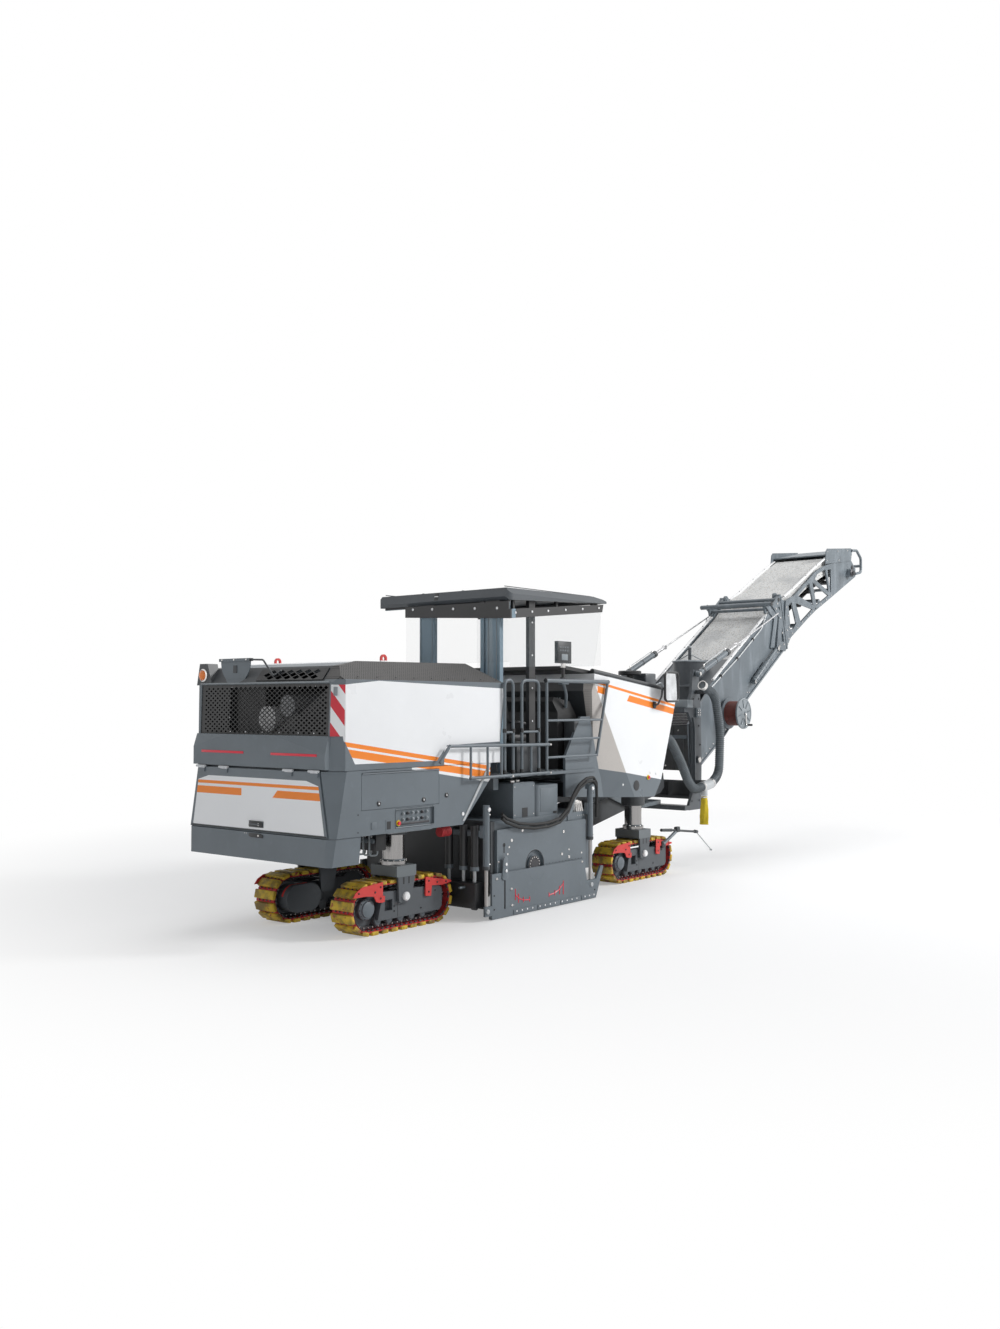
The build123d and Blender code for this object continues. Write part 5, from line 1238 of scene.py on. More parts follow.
def operator_seat(side_name, side):
    """Bellows pedestal, shell and armrests, with a padded cushion and a padded back."""
    y = side * 0.70
    lean = -0.17
    bellows = [(0, 0), (0.15, 0)]
    for fold in range(6):
        bellows += [(0.15, 0.03 + fold * 0.05), (0.115, 0.055 + fold * 0.05)]
    bellows += [(0.13, 0.35), (0, 0.35)]
    parts = [painted(turned((-0.27, y, 1.762), UP, bellows, 28), rubber_black)]
    parts.append(painted(block((-0.50, y - 0.215, 2.115), (-0.10, y + 0.215, 2.165), 0.014), charcoal))
    shell = leaned(block((-0.585, y - 0.20, 2.20), (-0.555, y + 0.20, 2.74), 0.012), (-0.56, y, 2.2), lean)
    parts.append(painted(shell, charcoal))
    for reach in (-0.225, 0.225):
        arm = tube([(-0.54, y + reach, 2.42), (-0.42, y + reach, 2.43), (-0.20, y + reach, 2.40)], 0.020,
                   0.04)
        parts.append(painted(arm, bolt_dark))
    dress(fused(parts), f"seat_frame_{side_name}", "chassis")
    cushion = crowned_pad((-0.525, y - 0.20, 2.160), (-0.075, y + 0.20, 2.258), (-0.25, 0.25), 1)
    back = crowned_pad((-0.03, y - 0.19, -0.26), (0.07, y + 0.19, 0.26), (), 1)
    back.data.transform(Matrix.Translation((-0.53, 0, 2.485)))
    leaned(back, (-0.53, y, 2.25), lean)
    for pad, name in ((cushion, "cushion"), (back, "back")):
        dress(painted(pad, seat_vinyl), f"seat_{name}_{side_name}", "chassis", 60.0)


def console_fittings():
    """Two joysticks, switches and two panels; the monitor's bezel, screen and keys, its post and arm."""
    parts = []
    for y in (-0.62, 0.62):
        boot = turned((0.50, y, 2.728), UP, [(0, 0), (0.055, 0), (0.045, 0.02), (0.022, 0.05), (0, 0.05)], 20)
        stick = turned((0.50, y, 2.77), UP,
                       [(0, 0), (0.012, 0), (0.012, 0.06), (0.026, 0.08), (0.028, 0.13), (0.016, 0.155),
                        (0, 0.158)], 16)
        parts += [painted(boot, rubber_black), painted(stick, bolt_dark)]
    for y in (-0.85, -0.40, 0.40, 0.85):
        places = [(x, y + dy, 2.735) for x in (0.40, 0.46, 0.56, 0.62) for dy in (-0.04, 0.04)]
        parts.append(studs(places, UP, 0.011, 0.018, trim_grey, 12))
    for y in (-0.15, 0.15):
        parts.append(painted(block((0.36, y - 0.11, 2.742), (0.60, y + 0.11, 2.765), 0.008), bolt_dark))
    parts.append(painted(block((0.158, -1.2065, 3.232), (0.462, -1.1995, 3.508), 0.003), bolt_dark))
    parts.append(painted(block((0.235, -1.2105, 3.262), (0.375, -1.2055, 3.345), 0.002), trim_grey))
    keys = [(0.21 + 0.055 * column, -1.2065, 3.395 + 0.045 * row) for column in range(4) for row in range(2)]
    parts.append(studs(keys, TO_RIGHT, 0.012, 0.005, trim_grey, 12))
    parts.append(painted(block((0.1425, -1.192, 3.25), (0.1495, -1.158, 3.49), 0.002), screen_dark))
    parts.append(painted(rod((0.31, -1.175, 3.16), (0.31, -1.175, 3.222), 0.034), bolt_bright))
    parts.append(painted(rod((0.31, -1.175, 2.99), (0.31, -1.175, 3.03), 0.040), link_dark))
    parts.append(painted(block((0.24, -1.215, 2.93), (0.40, -1.135, 2.985), 0.010), slate))
    arm = tube([(0.34, -1.16, 2.95), (0.46, -1.12, 2.80), (0.58, -1.02, 2.62)], 0.022, 0.06)
    parts.append(painted(arm, slate))
    dress(fused(parts), "console_fittings", "chassis")


def deck_fittings():
    """Tread strips on the deck, two cabinets behind the rails, rail clamps, bolts and knobs."""
    parts = []
    for step in range(15):
        x = -1.08 + step * 0.10
        parts.append(painted(block((x, -1.20, 1.7605), (x + 0.05, -0.98, 1.768), 0.002, 1), trim_grey))
    parts.append(painted(block((-0.76, -1.215, 1.775), (-0.30, -1.04, 2.15), 0.012), charcoal))
    parts.append(painted(block((0.52, -1.215, 1.775), (0.86, -1.03, 2.46), 0.012), charcoal))
    for z in (1.92, 2.06, 2.20, 2.34):
        parts.append(painted(block((0.54, -1.2195, z), (0.84, -1.2145, z + 0.012), 0.001, 1), bolt_dark))
    for x in (-1.13, -0.96, -0.78, -0.42):
        for z in (1.775, 2.30):
            parts.append(painted(collar((x, -1.312, z), UP, 0.021, 0.027, 0, 0.05, 16), bolt_dark))
    parts.append(studs([(-1.045, -1.376, 1.75), (-0.245, -1.376, 1.76), (-0.245, -1.376, 2.13),
                        (-1.84, -1.376, 1.955)], TO_RIGHT, 0.016, 0.010, bolt_bright))
    for x in (-0.26, 1.19):
        knob = turned((x, -1.312, 2.975), (1 if x > 0 else -1, 0, 0),
                      [(0, 0), (0.030, 0), (0.030, 0.012), (0, 0.016)], 16)
        parts.append(painted(knob, bolt_dark))
    dress(mirrored(fused(parts)), "deck_fittings", "chassis")


def canopy_fittings():
    """White bolt heads on the skirts and side posts, the dark rear notch, stay rods and roof seams."""
    parts = []
    side_bolts = [(x, -1.225, 3.838 + (x + 0.9) * 0.0934) for x in (-0.80, -0.45, -0.10, 0.30, 0.70, 1.10)]
    parts.append(studs(side_bolts, TO_RIGHT, 0.017, 0.009, cap_white, 16))
    rear_bolts = [(-0.900, y, 3.905 + 0.035 * (y + 1.19)) for y in (0.50, 0.14, -0.24, -0.62, -1.0)]
    parts.append(studs(rear_bolts, TO_REAR, 0.019, 0.009, cap_white, 16))
    front_bolts = [(1.236, y, 4.02) for y in (-1.0, -0.35, 0.35, 1.0)]
    parts.append(studs(front_bolts, (1, 0, 0), 0.015, 0.008, cap_white, 16))
    post_bolts = spaced((-0.31, -1.119, 2.0), (-0.31, -1.119, 3.75), 5)
    parts.append(studs(post_bolts, TO_RIGHT, 0.013, 0.007, cap_white, 12))
    notch = slab([(-0.9005, 0.04, 4.066), (-0.872, 0.04, 4.172), (-0.850, 0.04, 4.172),
                  (-0.870, 0.04, 4.066)], (0, 0.075, 0), 0.001)
    parts.append(painted(notch, bolt_dark))
    parts.append(painted(block((-0.8935, 0.045, 4.115), (-0.880, 0.11, 4.128), 0.002, 1), cap_white))
    for y in (0.165, 0.375, -0.83, -0.97):
        parts.append(painted(tube([(-0.877, y, 1.80), (-0.877, y, 3.97)], 0.005, 0), trim_grey))
    for y in (-1.085, 1.085):
        rib = tube([(-0.78, y, 4.028), (1.28, y, 4.108)], 0.010, 0)
        parts.append(painted(rib, link_dark))
    dress(fused(parts), "canopy_fittings", "chassis")
    edge = tube([(-0.845, -1.08, 4.200), (1.12, -1.08, 4.198), (1.30, -1.05, 4.170)], 0.006, 0.05)
    seam = tube([(-0.86, -0.36, 4.182), (1.12, -0.36, 4.200), (1.30, -0.34, 4.168)], 0.004, 0.05)
    dress(mirrored(painted(fused([edge, seam]), roof_slate)), "canopy_seams", "chassis")


# ---------------------------------------------------------------- front module and mirrors
def module_fittings():
    """Rolled lips along the top edges, the turntable disc and box, bolts, stop button, hatch and lamps."""
    lip = tube([(0.96, -1.205, 3.122), (1.35, -1.215, 3.075), (2.72, -1.215, 2.908), (2.86, -1.19, 2.858),
                (3.06, -1.10, 2.755)], 0.042, 0.10, 3)
    under = tube([(1.25, -1.262, 3.048), (2.74, -1.262, 2.868)], 0.012, 0)
    dress(mirrored(fused([painted(lip, charcoal), painted(under, trim_grey)])), "module_lip", "chassis")
    disc = turned((2.46, -0.86, 3.01), UP,
                  [(0, 0), (0.055, 0), (0.055, 0.09), (0.165, 0.095), (0.175, 0.105), (0.175, 0.150),
                   (0.160, 0.160), (0, 0.162)], 32)
    parts = [painted(disc, bolt_dark)]
    parts.append(painted(block((2.66, -1.02, 2.90), (2.96, -0.72, 3.135), 0.02), roof_slate))
    parts.append(painted(block((2.50, -0.93, 2.955), (2.68, -0.80, 2.99), 0.008), charcoal))
    grab = tube([(2.74, -1.10, 2.93), (2.90, -1.14, 3.0), (3.04, -1.12, 2.90)], 0.010, 0.04)
    parts.append(painted(grab, trim_grey))
    low_bolts = [(2.36, -1.28, 1.64), (2.52, -1.28, 1.62), (1.62, -1.28, 1.50)]
    parts.append(studs(low_bolts, TO_RIGHT, 0.018, 0.008, cap_white, 12))
    parts += stop_button(2.30, SIDE_FACE, 1.575, 0.036, 0.024)
    hatch = turned((1.98, SIDE_FACE, 1.47), TO_RIGHT,
                   [(0, 0), (0.075, 0), (0.075, 0.004), (0.055, 0.006), (0, 0.006)], 28)
    parts.append(painted(hatch, bolt_dark))
    parts.append(painted(tube([(2.47, -1.30, 2.64), (2.47, -1.288, 2.64)], 0.045, 0), bolt_dark))
    front_bolts = spaced((3.088, -0.90, 2.66), (3.088, 0.90, 2.66), 7)
    parts.append(studs(front_bolts, (1, 0, 0.2), 0.014, 0.010, bolt_dark))
    for y in (-0.78, 0.78):
        lamp = turned((2.985, y, 2.35), (0.94, 0, -0.34),
                      [(0, 0), (0.085, 0), (0.085, 0.014), (0.070, 0.024), (0.064, 0.012), (0, 0.020)], 28)
        parts.append(painted(lamp, cap_white))
    dress(fused(parts), "module_fittings", "chassis")


def wing_mirror():
    """Rounded frame with a shallow housing behind the glass, on a cranked arm."""
    rear, front, foot_z, top_z, y = 2.525, 2.900, 2.705, 3.138, -1.447
    cut = 0.03
    loop = [(rear, y, 2.9), (rear, y, top_z), (front, y, top_z), (front, y, foot_z), (rear, y, foot_z),
            (rear, y, 2.901)]
    rim = painted(tube(loop, 0.017, 0.06), bolt_dark)
    outline = [(rear + cut, y, foot_z), (rear, y, foot_z + cut), (rear, y, top_z - cut),
               (rear + cut, y, top_z), (front - cut, y, top_z), (front, y, top_z - cut),
               (front, y, foot_z + cut), (front - cut, y, foot_z)]
    glass = painted(slab(outline, (0, -0.004, 0), 0.001), mirror_glass)
    housing = painted(slab([(x, y + 0.001, z) for x, _, z in outline], (0, 0.030, 0), 0.012, 3), bolt_dark)
    arm = painted(tube([(2.47, -1.285, 2.65), (2.47, -1.35, 2.65), (2.50, -1.40, 2.78), (2.52, -1.40, 2.90),
                        (2.72, -1.405, 2.90)], 0.014, 0.03), charcoal)
    foot = painted(block((2.44, -1.305, 2.60), (2.50, -1.281, 2.70), 0.006), charcoal)
    return fused([rim, glass, housing, arm, foot])


for side_name, side in (("right", -1), ("left", 1)):
    operator_seat(side_name, side)
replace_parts(bpy.data.objects["seat_frame_right"], "operator_seats")
console_fittings()
deck_fittings()
canopy_fittings()
module_fittings()
mirror_pair = dress(mirrored(wing_mirror()), "wing_mirrors", "chassis")
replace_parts(mirror_pair, "mirrors")


# ---------------------------------------------------------------- dust duct
DUCT_Y = -1.0


def ribbed(points, bend):
    """A corrugated duct through (x, z) points: a plain tube with a rib every pitch along it."""
    radius, pitch = 0.068, 0.034
    path = wire([(x, DUCT_Y, z) for x, z in points], bend)
    line = [path.matrix_world @ point.co.to_3d() for point in path.data.splines[0].points]
    bpy.data.objects.remove(path)
    core = tube([(x, DUCT_Y, z) for x, z in points], radius, bend, 4)
    rib = turned(HERE, UP, [(radius - 0.003, -0.009), (radius + 0.007, -0.005), (radius + 0.007, 0.005),
                            (radius - 0.003, 0.009), (radius - 0.003, -0.009)], 20)
    moves, left = [], pitch
    for start, end in zip(line, line[1:]):
        run = end - start
        while left < run.length:
            moves.append(Matrix.Translation(start + run.normalized() * left) @ pointed(run))
            left += pitch
        left -= run.length
    return fused([painted(core, duct_grey), painted(repeated(rib, moves), duct_rib)])


def duct_pieces():
    """The suction duct, which bends with the yoke, and the riser with its fittings."""
    duct_line = [(2.96, 2.30), (3.42, 2.08), (3.73, 1.73), (3.96, 1.40), (4.14, 1.278), (4.372, 1.309)]
    hose = dress(ribbed(duct_line, 0.085), "suction_duct", None, 60.0)
    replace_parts(hose, "dust_hose")
    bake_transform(hose)
    riser = ribbed([(4.70, 1.352), (4.96, 1.50), (5.01, 2.24), (4.84, 2.82), (4.44, 2.966)], 0.14)
    joint = tube([(4.376, DUCT_Y, 1.310), (4.55, DUCT_Y, 1.322), (4.724, DUCT_Y, 1.358)], 0.079, 0.05, 4)
    fitting = [painted(joint, trim_silver)]
    for x, z in ((4.40, 1.312), (4.68, 1.350)):
        ring = collar((x, DUCT_Y, z), (1, 0, 0.13), 0.076, 0.0815, -0.012, 0.012, 28)
        fitting.append(painted(ring, bolt_bright))
    fitting.append(painted(rod((4.46, DUCT_Y, 1.31), (4.46, DUCT_Y, 1.162), 0.058, 0.006, 28), trim_silver))
    for x, low, high in ((4.690, 1.322, 1.398), (4.750, 2.832, 2.898)):
        stay = block((x - 0.028, -0.958, low), (x + 0.028, -0.692, high), 0.008)
        fitting.append(painted(stay, charcoal))
    end_ring = collar((4.44, DUCT_Y, 2.966), (1, 0, -0.36), 0.066, 0.077, -0.03, 0.03, 28)
    fitting.append(painted(end_ring, bolt_bright))
    piece = dress(fused([riser, *fitting]), "riser_duct", "slew_yoke", 60.0)
    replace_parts(piece, "duct_riser")


SOCK = (4.46, 1.150, 0.690, 0.050)  # x, top, bottom and radius of the fabric sleeve


def dust_sock():
    """Open fabric sleeve that hangs from the duct's outlet, pressed a little flat and with long folds."""
    x, top, bottom, radius = SOCK
    rows = 24
    line = [(radius, (top - bottom) * row / rows) for row in range(rows + 1)]
    sleeve = turned((x, DUCT_Y, bottom), UP, line, 48)
    middle = at(x, DUCT_Y, 0)
    flat_way = Vector((0.87, 0.49, 0))
    for vertex in sleeve.data.vertices:
        offset = Vector((vertex.co.x - middle.x, vertex.co.y - middle.y, 0))
        turn = math.atan2(offset.y, offset.x)
        drop = (top - vertex.co.z) / (top - bottom)
        deep_fold = 0.09 * min(1.0, 3 * drop) * math.sin(5 * turn + 4 * drop)
        fold = 1.0 + deep_fold + 0.03 * math.sin(22 * drop + 2 * turn)
        deep = flat_way * offset.dot(flat_way)
        press = min(1.0, 1.6 * drop)
        shape = (offset - deep) * (1 + 0.36 * press) + deep * (1 - 0.40 * press)
        vertex.co.x = middle.x + shape.x * fold
        vertex.co.y = middle.y + shape.y * fold
    return sleeve


def sock_pieces():
    """The sleeve, and the band with its buckle that holds it to the outlet."""
    x, top, bottom, radius = SOCK
    sleeve = dress(painted(dust_sock(), sock_yellow), "dust_sock", "slew_yoke", 80.0)
    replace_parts(sleeve, "duct_sock")
    band = painted(collar((x, DUCT_Y, top - 0.022), UP, 0.0525, 0.0555, 0, 0.016, 32), bolt_bright)
    buckle = block((x - 0.065, DUCT_Y - 0.012, top - 0.024), (x - 0.052, DUCT_Y + 0.012, top - 0.004), 0.002)
    dress(fused([band, painted(buckle, bolt_bright)]), "sock_band", "slew_yoke")


duct_pieces()
sock_pieces()


# ---------------------------------------------------------------- conveyor
def belt_edge_strips():
    """Pale sealing strips beside the belts, held by dark bolts."""
    side_y, thickness, bolt_spacing = -0.602, 0.022, 0.35
    lower_run = [(5.53, 3.068), (7.56, 4.330)]
    upper_run = [(8.30, 4.712), (8.70, 4.895), (9.30, 5.195), (9.80, 5.445), (10.25, 5.650)]
    for name, run, body in (("lower", lower_run, "conveyor_lower"), ("upper", upper_run, "conveyor_upper")):
        outline = [(x, side_y, z) for x, z in run]
        outline += [(x, side_y, z + thickness) for x, z in reversed(run)]
        parts = [painted(slab(outline, (0, 0.055, 0), 0.003), cap_white)]
        for (x0, z0), (x1, z1) in zip(run, run[1:]):
            count = max(2, round(math.dist((x0, z0), (x1, z1)) / bolt_spacing))
            places = spaced((x0, -0.575, z0 + thickness), (x1, -0.575, z1 + thickness), count)
            parts.append(studs(places, (z0 - z1, 0, x1 - x0), 0.013, 0.007, bolt_dark))
        dress(mirrored(fused(parts)), f"belt_strips_{name}", body)


def reel_winding():
    """Ten turns of hose wound on the reel, a spoked face on the outer disc and its crank."""
    x, y, z = 5.95, -0.80, 2.50
    face_y, crank_y, crank_z = y - 0.157, y - 0.188, z - 0.20
    turn = turned((x, y, z), (0, 1, 0),
                  [(0.190, -0.0115), (0.210, -0.0115), (0.214, 0.0), (0.210, 0.0115), (0.190, 0.0115),
                   (0.190, -0.0115)], 40)
    turn = painted(turn, reel_red)
    windings = repeated(turn, [Matrix.Translation((0, -0.115 + 0.0256 * step, 0)) for step in range(10)])
    face = turned((x, y - 0.150, z), TO_RIGHT,
                  [(0, 0), (0.268, 0), (0.268, 0.006), (0.245, 0.012), (0.235, 0.004), (0.10, 0.004),
                   (0.075, 0.020), (0, 0.020)], 48)
    parts = [windings, painted(face, trim_grey)]
    for step in range(8):
        angle = math.radians(45 * step + 12)
        start, end = [(x + reach * math.cos(angle), face_y, z + reach * math.sin(angle))
                      for reach in (0.10, 0.235)]
        parts.append(painted(rod(start, end, 0.008, 0.002, 8), slate))
    crank = tube([(x, y - 0.168, z), (x, crank_y, z), (x + 0.02, crank_y, crank_z),
                  (x + 0.02, y - 0.24, crank_z)], 0.012, 0.015)
    grip = rod((x + 0.02, y - 0.215, crank_z), (x + 0.02, y - 0.30, crank_z), 0.018, 0.004)
    parts += [painted(crank, bolt_bright), painted(grip, bolt_dark)]
    dress(fused(parts), "reel_winding", "hose_reel")


def lower_conveyor_fittings():
    """Edge pipes, bolts, cable pipes, hubs; rim, dome, stays and plugs of the round cover; tail bars."""
    parts = []
    wall, cover_x = -0.600, 5.74
    low_edge = [(5.05, 1.642), (5.87, 2.115), (6.76, 2.775), (8.22, 3.700)]
    parts.append(painted(tube([(x, -0.606, z) for x, z in low_edge], 0.020, 0.05), slate))
    bolts = []
    for (x0, z0), (x1, z1) in zip(low_edge, low_edge[1:]):
        bolts += spaced((x0 + 0.06, wall, z0 + 0.10), (x1 - 0.02, wall, z1 + 0.10), 7)
    parts.append(studs(bolts, TO_RIGHT, 0.014, 0.009, bolt_bright))
    pipe = [(5.35, 2.92), (6.4, 3.50), (7.3, 4.06), (7.46, 4.30)]
    parts.append(painted(tube([(x, -0.618, z) for x, z in pipe], 0.012, 0.08), trim_silver))
    for x, z in ((5.75, 3.152), (6.35, 3.472), (6.95, 3.842)):
        parts.append(painted(block((x - 0.02, -0.632, z - 0.03), (x + 0.02, wall, z + 0.03), 0.004),
                             bolt_dark))
    flange_bolts = [(7.90, 4.56), (8.02, 4.30), (8.10, 4.02), (8.16, 3.80), (7.98, 3.76), (7.84, 4.46)]
    parts.append(studs([(x, -0.640, z) for x, z in flange_bolts], TO_RIGHT, 0.020, 0.012, bolt_bright))
    for x, z, reach in ((7.46, 4.525, 0.740), (7.56, 4.440, 0.610), (7.96, 4.640, 0.640)):
        ring = turned((x, -reach, z), TO_RIGHT, [(0, 0), (0.040, 0), (0.036, 0.008), (0, 0.010)], 20)
        parts.append(painted(ring, bolt_dark))
    parts = [mirrored(fused(parts))]
    for y in (-0.30, 0.30):
        stay = tube([(cover_x, y, 3.415), (cover_x, y * 0.4, 3.50), (cover_x, 0, 3.56)], 0.010, 0.03)
        parts.append(painted(stay, trim_silver))
    rim = turned((cover_x, 0, 3.408), UP,
                 [(0.285, 0), (0.318, 0), (0.318, 0.018), (0.300, 0.026), (0.285, 0.020), (0.285, 0)], 48)
    dome = turned((cover_x, 0, 3.418), UP, [(0, 0), (0.275, 0), (0.268, 0.012), (0.10, 0.030), (0, 0.032)],
                  40)
    parts += [painted(rim, trim_grey), painted(dome, slate)]
    parts.append(painted(rod((cover_x, 0, 3.66), (cover_x, 0, 3.70), 0.045, 0.006), trim_silver))
    for y in (-0.30, 0.30):
        plug = turned((5.56, y * 0.8, 3.17), (-0.8, y / 0.6, 0),
                      [(0, 0), (0.055, 0), (0.055, 0.03), (0.040, 0.045), (0, 0.05)], 20)
        parts.append(painted(plug, trim_grey))
    for x, _, z in spaced((4.985, 0, 2.305), (5.315, 0, 2.515), 9):
        parts.append(painted(rod((x, -0.53, z), (x, 0.53, z), 0.012, 0.002, 10), link_dark))
    dress(fused(parts), "lower_conveyor_fittings", "conveyor_lower")


def upper_conveyor_fittings():
    """Bolts and small brackets on the truss and the head, hubs, return rollers and the return belt."""
    parts = []
    wall = -0.600
    chord = [(8.62, 4.035), (9.30, 4.400), (9.68, 4.585), (10.44, 4.905)]
    for (x0, z0), (x1, z1) in zip(chord, chord[1:]):
        parts.append(studs(spaced((x0, wall, z0), (x1, wall, z1), 4), TO_RIGHT, 0.016, 0.010, bolt_bright))
    plate_bolts = [(8.31, 4.52), (8.38, 4.36), (8.42, 4.14), (8.40, 3.92), (8.33, 4.08), (8.36, 3.82)]
    parts.append(studs([(x, -0.628, z) for x, z in plate_bolts], TO_RIGHT, 0.018, 0.011, bolt_bright))
    cover_bolts = [(10.22, 5.60), (10.24, 5.78), (10.75, 5.84), (11.25, 5.90), (11.42, 5.80), (10.8, 5.66)]
    parts.append(studs([(x, -0.616, z) for x, z in cover_bolts], TO_RIGHT, 0.016, 0.009, bolt_bright))
    hub = turned((11.29, -0.690, 5.43), TO_RIGHT,
                 [(0, 0), (0.080, 0), (0.080, 0.012), (0.050, 0.026), (0.045, 0.055), (0, 0.058)], 28)
    parts.append(painted(hub, link_dark))
    nose = turned((11.52, wall, 5.56), TO_RIGHT, [(0, 0), (0.060, 0), (0.055, 0.012), (0, 0.016)], 24)
    parts.append(painted(nose, bolt_dark))
    for x, z in ((8.75, 4.30), (9.55, 4.70), (10.30, 5.02)):
        parts.append(painted(block((x - 0.03, -0.612, z - 0.05), (x + 0.03, wall, z + 0.05), 0.006), slate))
    side = mirrored(fused(parts))
    rollers = [painted(rod((x, -0.548, z), (x, 0.548, z), 0.045, 0.006), link_dark)
               for x, z in ((9.10, 4.62), (9.75, 4.94), (10.35, 5.16))]
    dress(fused([side, *rollers]), "upper_conveyor_fittings", "conveyor_upper")
    run = [(8.62, 4.435), (9.10, 4.668), (9.75, 4.988), (10.35, 5.208), (10.88, 5.41)]
    outline = [(x, -0.50, z) for x, z in run] + [(x, -0.50, z + 0.016) for x, z in reversed(run)]
    dress(painted(slab(outline, (0, 1.0, 0), 0.004), rubber_black), "return_belt", "conveyor_upper")


def tail_closing_plates():
    """Ribbed closing plate behind the conveyor's tail, and the yoke's skirt below it."""
    plate = [painted(block((4.672, -0.575, 1.545), (4.690, 0.575, 2.30), 0.004), tail_dark)]
    for y in (-0.50, -0.28, 0.0, 0.28, 0.50):
        plate.append(painted(block((4.655, y - 0.018, 1.56), (4.674, y + 0.018, 2.27), 0.004), tail_dark))
    plate.append(painted(block((4.650, -0.56, 2.08), (4.674, 0.56, 2.14), 0.005), slate))
    plate.append(studs([(4.672, y, z) for y in (-0.39, -0.14, 0.14, 0.39) for z in (1.62, 1.90, 2.22)],
                       TO_REAR, 0.016, 0.009, bolt_bright))
    dress(fused(plate), "tail_closing_plate", "conveyor_lower")
    skirt = [painted(block((4.710, -0.61, 1.07), (4.730, 0.61, 1.38), 0.004), tail_dark)]
    for y in (-0.42, 0.0, 0.42):
        skirt.append(painted(block((4.698, y - 0.16, 1.12), (4.712, y + 0.16, 1.35), 0.006), bolt_dark))
    dress(fused(skirt), "yoke_skirt", "slew_yoke")


def pointer_rod_piece():
    """Bracket from the front track, a clamp, the level arm and the thin pointer at its end."""
    y = -1.010
    parts = [painted(tube([(3.16, y, 0.49), (3.30, y, 0.545), (3.58, y, 0.668)], 0.026, 0.05), slate)]
    parts.append(painted(block((3.12, y - 0.015, 0.43), (3.22, y + 0.028, 0.54), 0.008), charcoal))
    parts.append(painted(rod((3.10, y, 0.708), (3.42, y, 0.684), 0.024), charcoal))
    parts.append(painted(rod((3.42, y, 0.684), (4.16, y, 0.600), 0.018), charcoal))
    parts.append(painted(block((3.53, y - 0.032, 0.640), (3.63, y + 0.032, 0.725), 0.012), charcoal))
    parts.append(painted(rod((4.12, y, 0.608), (4.20, y, 0.596), 0.027), charcoal))
    parts.append(painted(rod((4.17, y, 0.600), (4.66, y, 0.262), 0.008), trim_silver))
    parts.append(painted(rod((4.655, y - 0.02, 0.262), (4.655, y + 0.02, 0.262), 0.014, 0.002), trim_silver))
    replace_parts(dress(fused(parts), "pointer_rod", "undercarriage_front_right"), "sighting_rod")


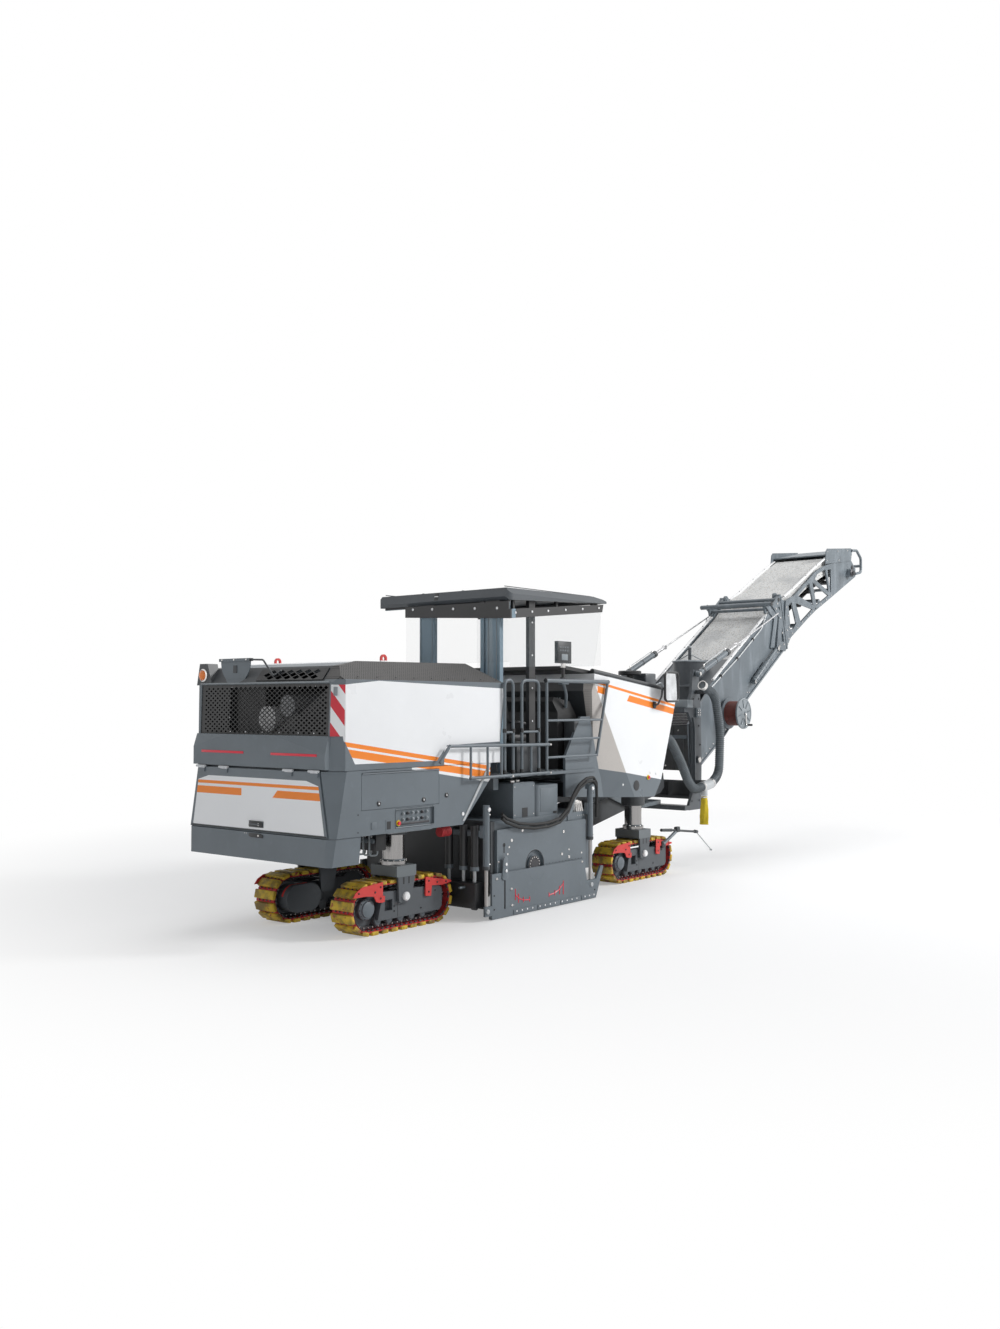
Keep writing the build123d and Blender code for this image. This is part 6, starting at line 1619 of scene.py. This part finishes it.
def cylinder_fittings():
    """Rings, hose unions and a pipe on the luffing cylinders; pins and rings on the folding ones."""
    run = Vector((3.07, 0, 1.228)).normalized()
    foot_x, foot_z, line_y = 4.75, 3.17, -0.74
    parts = []
    for distance, radius, width in ((0.13, 0.056, 0.05), (1.02, 0.060, 0.08), (0.60, 0.053, 0.03)):
        x, z = foot_x + run.x * distance, foot_z + run.z * distance
        ring = turned((x, line_y, z), run,
                      [(0.049, 0), (radius, 0.004), (radius, width), (0.049, width + 0.004), (0.049, 0)], 28)
        parts.append(painted(ring, charcoal))
    for distance in (0.20, 1.0):
        x, z = foot_x + run.x * distance, foot_z + run.z * distance
        parts.append(painted(rod((x, line_y, z + 0.045), (x, line_y, z + 0.095), 0.014, 0.002, 6),
                             bolt_bright))
    pipe = [(foot_x + run.x * distance, line_y, foot_z + run.z * distance + 0.088)
            for distance in (0.20, 1.0)]
    parts.append(painted(tube(pipe, 0.008, 0), trim_silver))
    dress(mirrored(fused(parts)), "luff_cylinder_fittings", "luff_cylinders")
    pin_x, pin_z = 6.89, 3.07
    pins = [(pin_x, -0.700, pin_z), (7.82, -0.700, 3.71)]
    caps = [studs(pins, TO_RIGHT, 0.036, 0.012, bolt_bright, 20)]
    along = Vector((0.51, 0, 0.351)).normalized()
    for distance in (0.06, 0.20, 0.34, 0.48):
        x, z = pin_x + along.x * distance, pin_z + along.z * distance
        ring = turned((x, -0.66, z), along,
                      [(0.054, 0), (0.061, 0.006), (0.061, 0.05), (0.054, 0.056), (0.054, 0)], 24)
        caps.append(painted(ring, slate))
    dress(mirrored(fused(caps)), "fold_cylinder_fittings", "conveyor_lower")


def yoke_fittings():
    """Pin heads, bolts, a rib and the plate with hose unions on each arm; a box on the yoke's top."""
    arm = -0.690
    parts = [studs([(4.75, -0.780, 3.17)], TO_RIGHT, 0.034, 0.012, bolt_bright, 16),
             studs([(4.80, -0.720, 1.73)], TO_RIGHT, 0.050, 0.016, bolt_bright, 20)]
    arm_bolts = [(4.60, 1.05), (4.84, 1.05), (4.70, 2.30), (4.84, 2.30), (4.66, 2.75), (4.84, 2.75),
                 (4.72, 1.50), (4.88, 1.98)]
    parts.append(studs([(x, arm, z) for x, z in arm_bolts], TO_RIGHT, 0.018, 0.010, bolt_dark))
    rib = slab([(4.66, arm, 1.20), (4.69, arm, 1.20), (4.69, arm, 2.28), (4.64, arm, 2.44), (4.61, arm, 2.44),
                (4.66, arm, 2.26)], (0, -0.028, 0), 0.004)
    parts.append(painted(rib, roof_slate))
    parts.append(painted(block((4.72, -0.722, 2.44), (4.86, arm, 2.60), 0.008), slate))
    for z in (2.48, 2.52, 2.56):
        parts.append(studs([(4.76, -0.722, z), (4.82, -0.722, z)], TO_RIGHT, 0.012, 0.016, bolt_bright))
    side = mirrored(fused(parts))
    top = painted(block((4.39, -0.74, 2.602), (4.58, -0.42, 2.735), 0.016), trim_grey)
    dress(fused([side, top]), "yoke_fittings", "slew_yoke")


belt_edge_strips()
reel_winding()
tail_closing_plates()
pointer_rod_piece()
lower_conveyor_fittings()
upper_conveyor_fittings()
cylinder_fittings()
yoke_fittings()
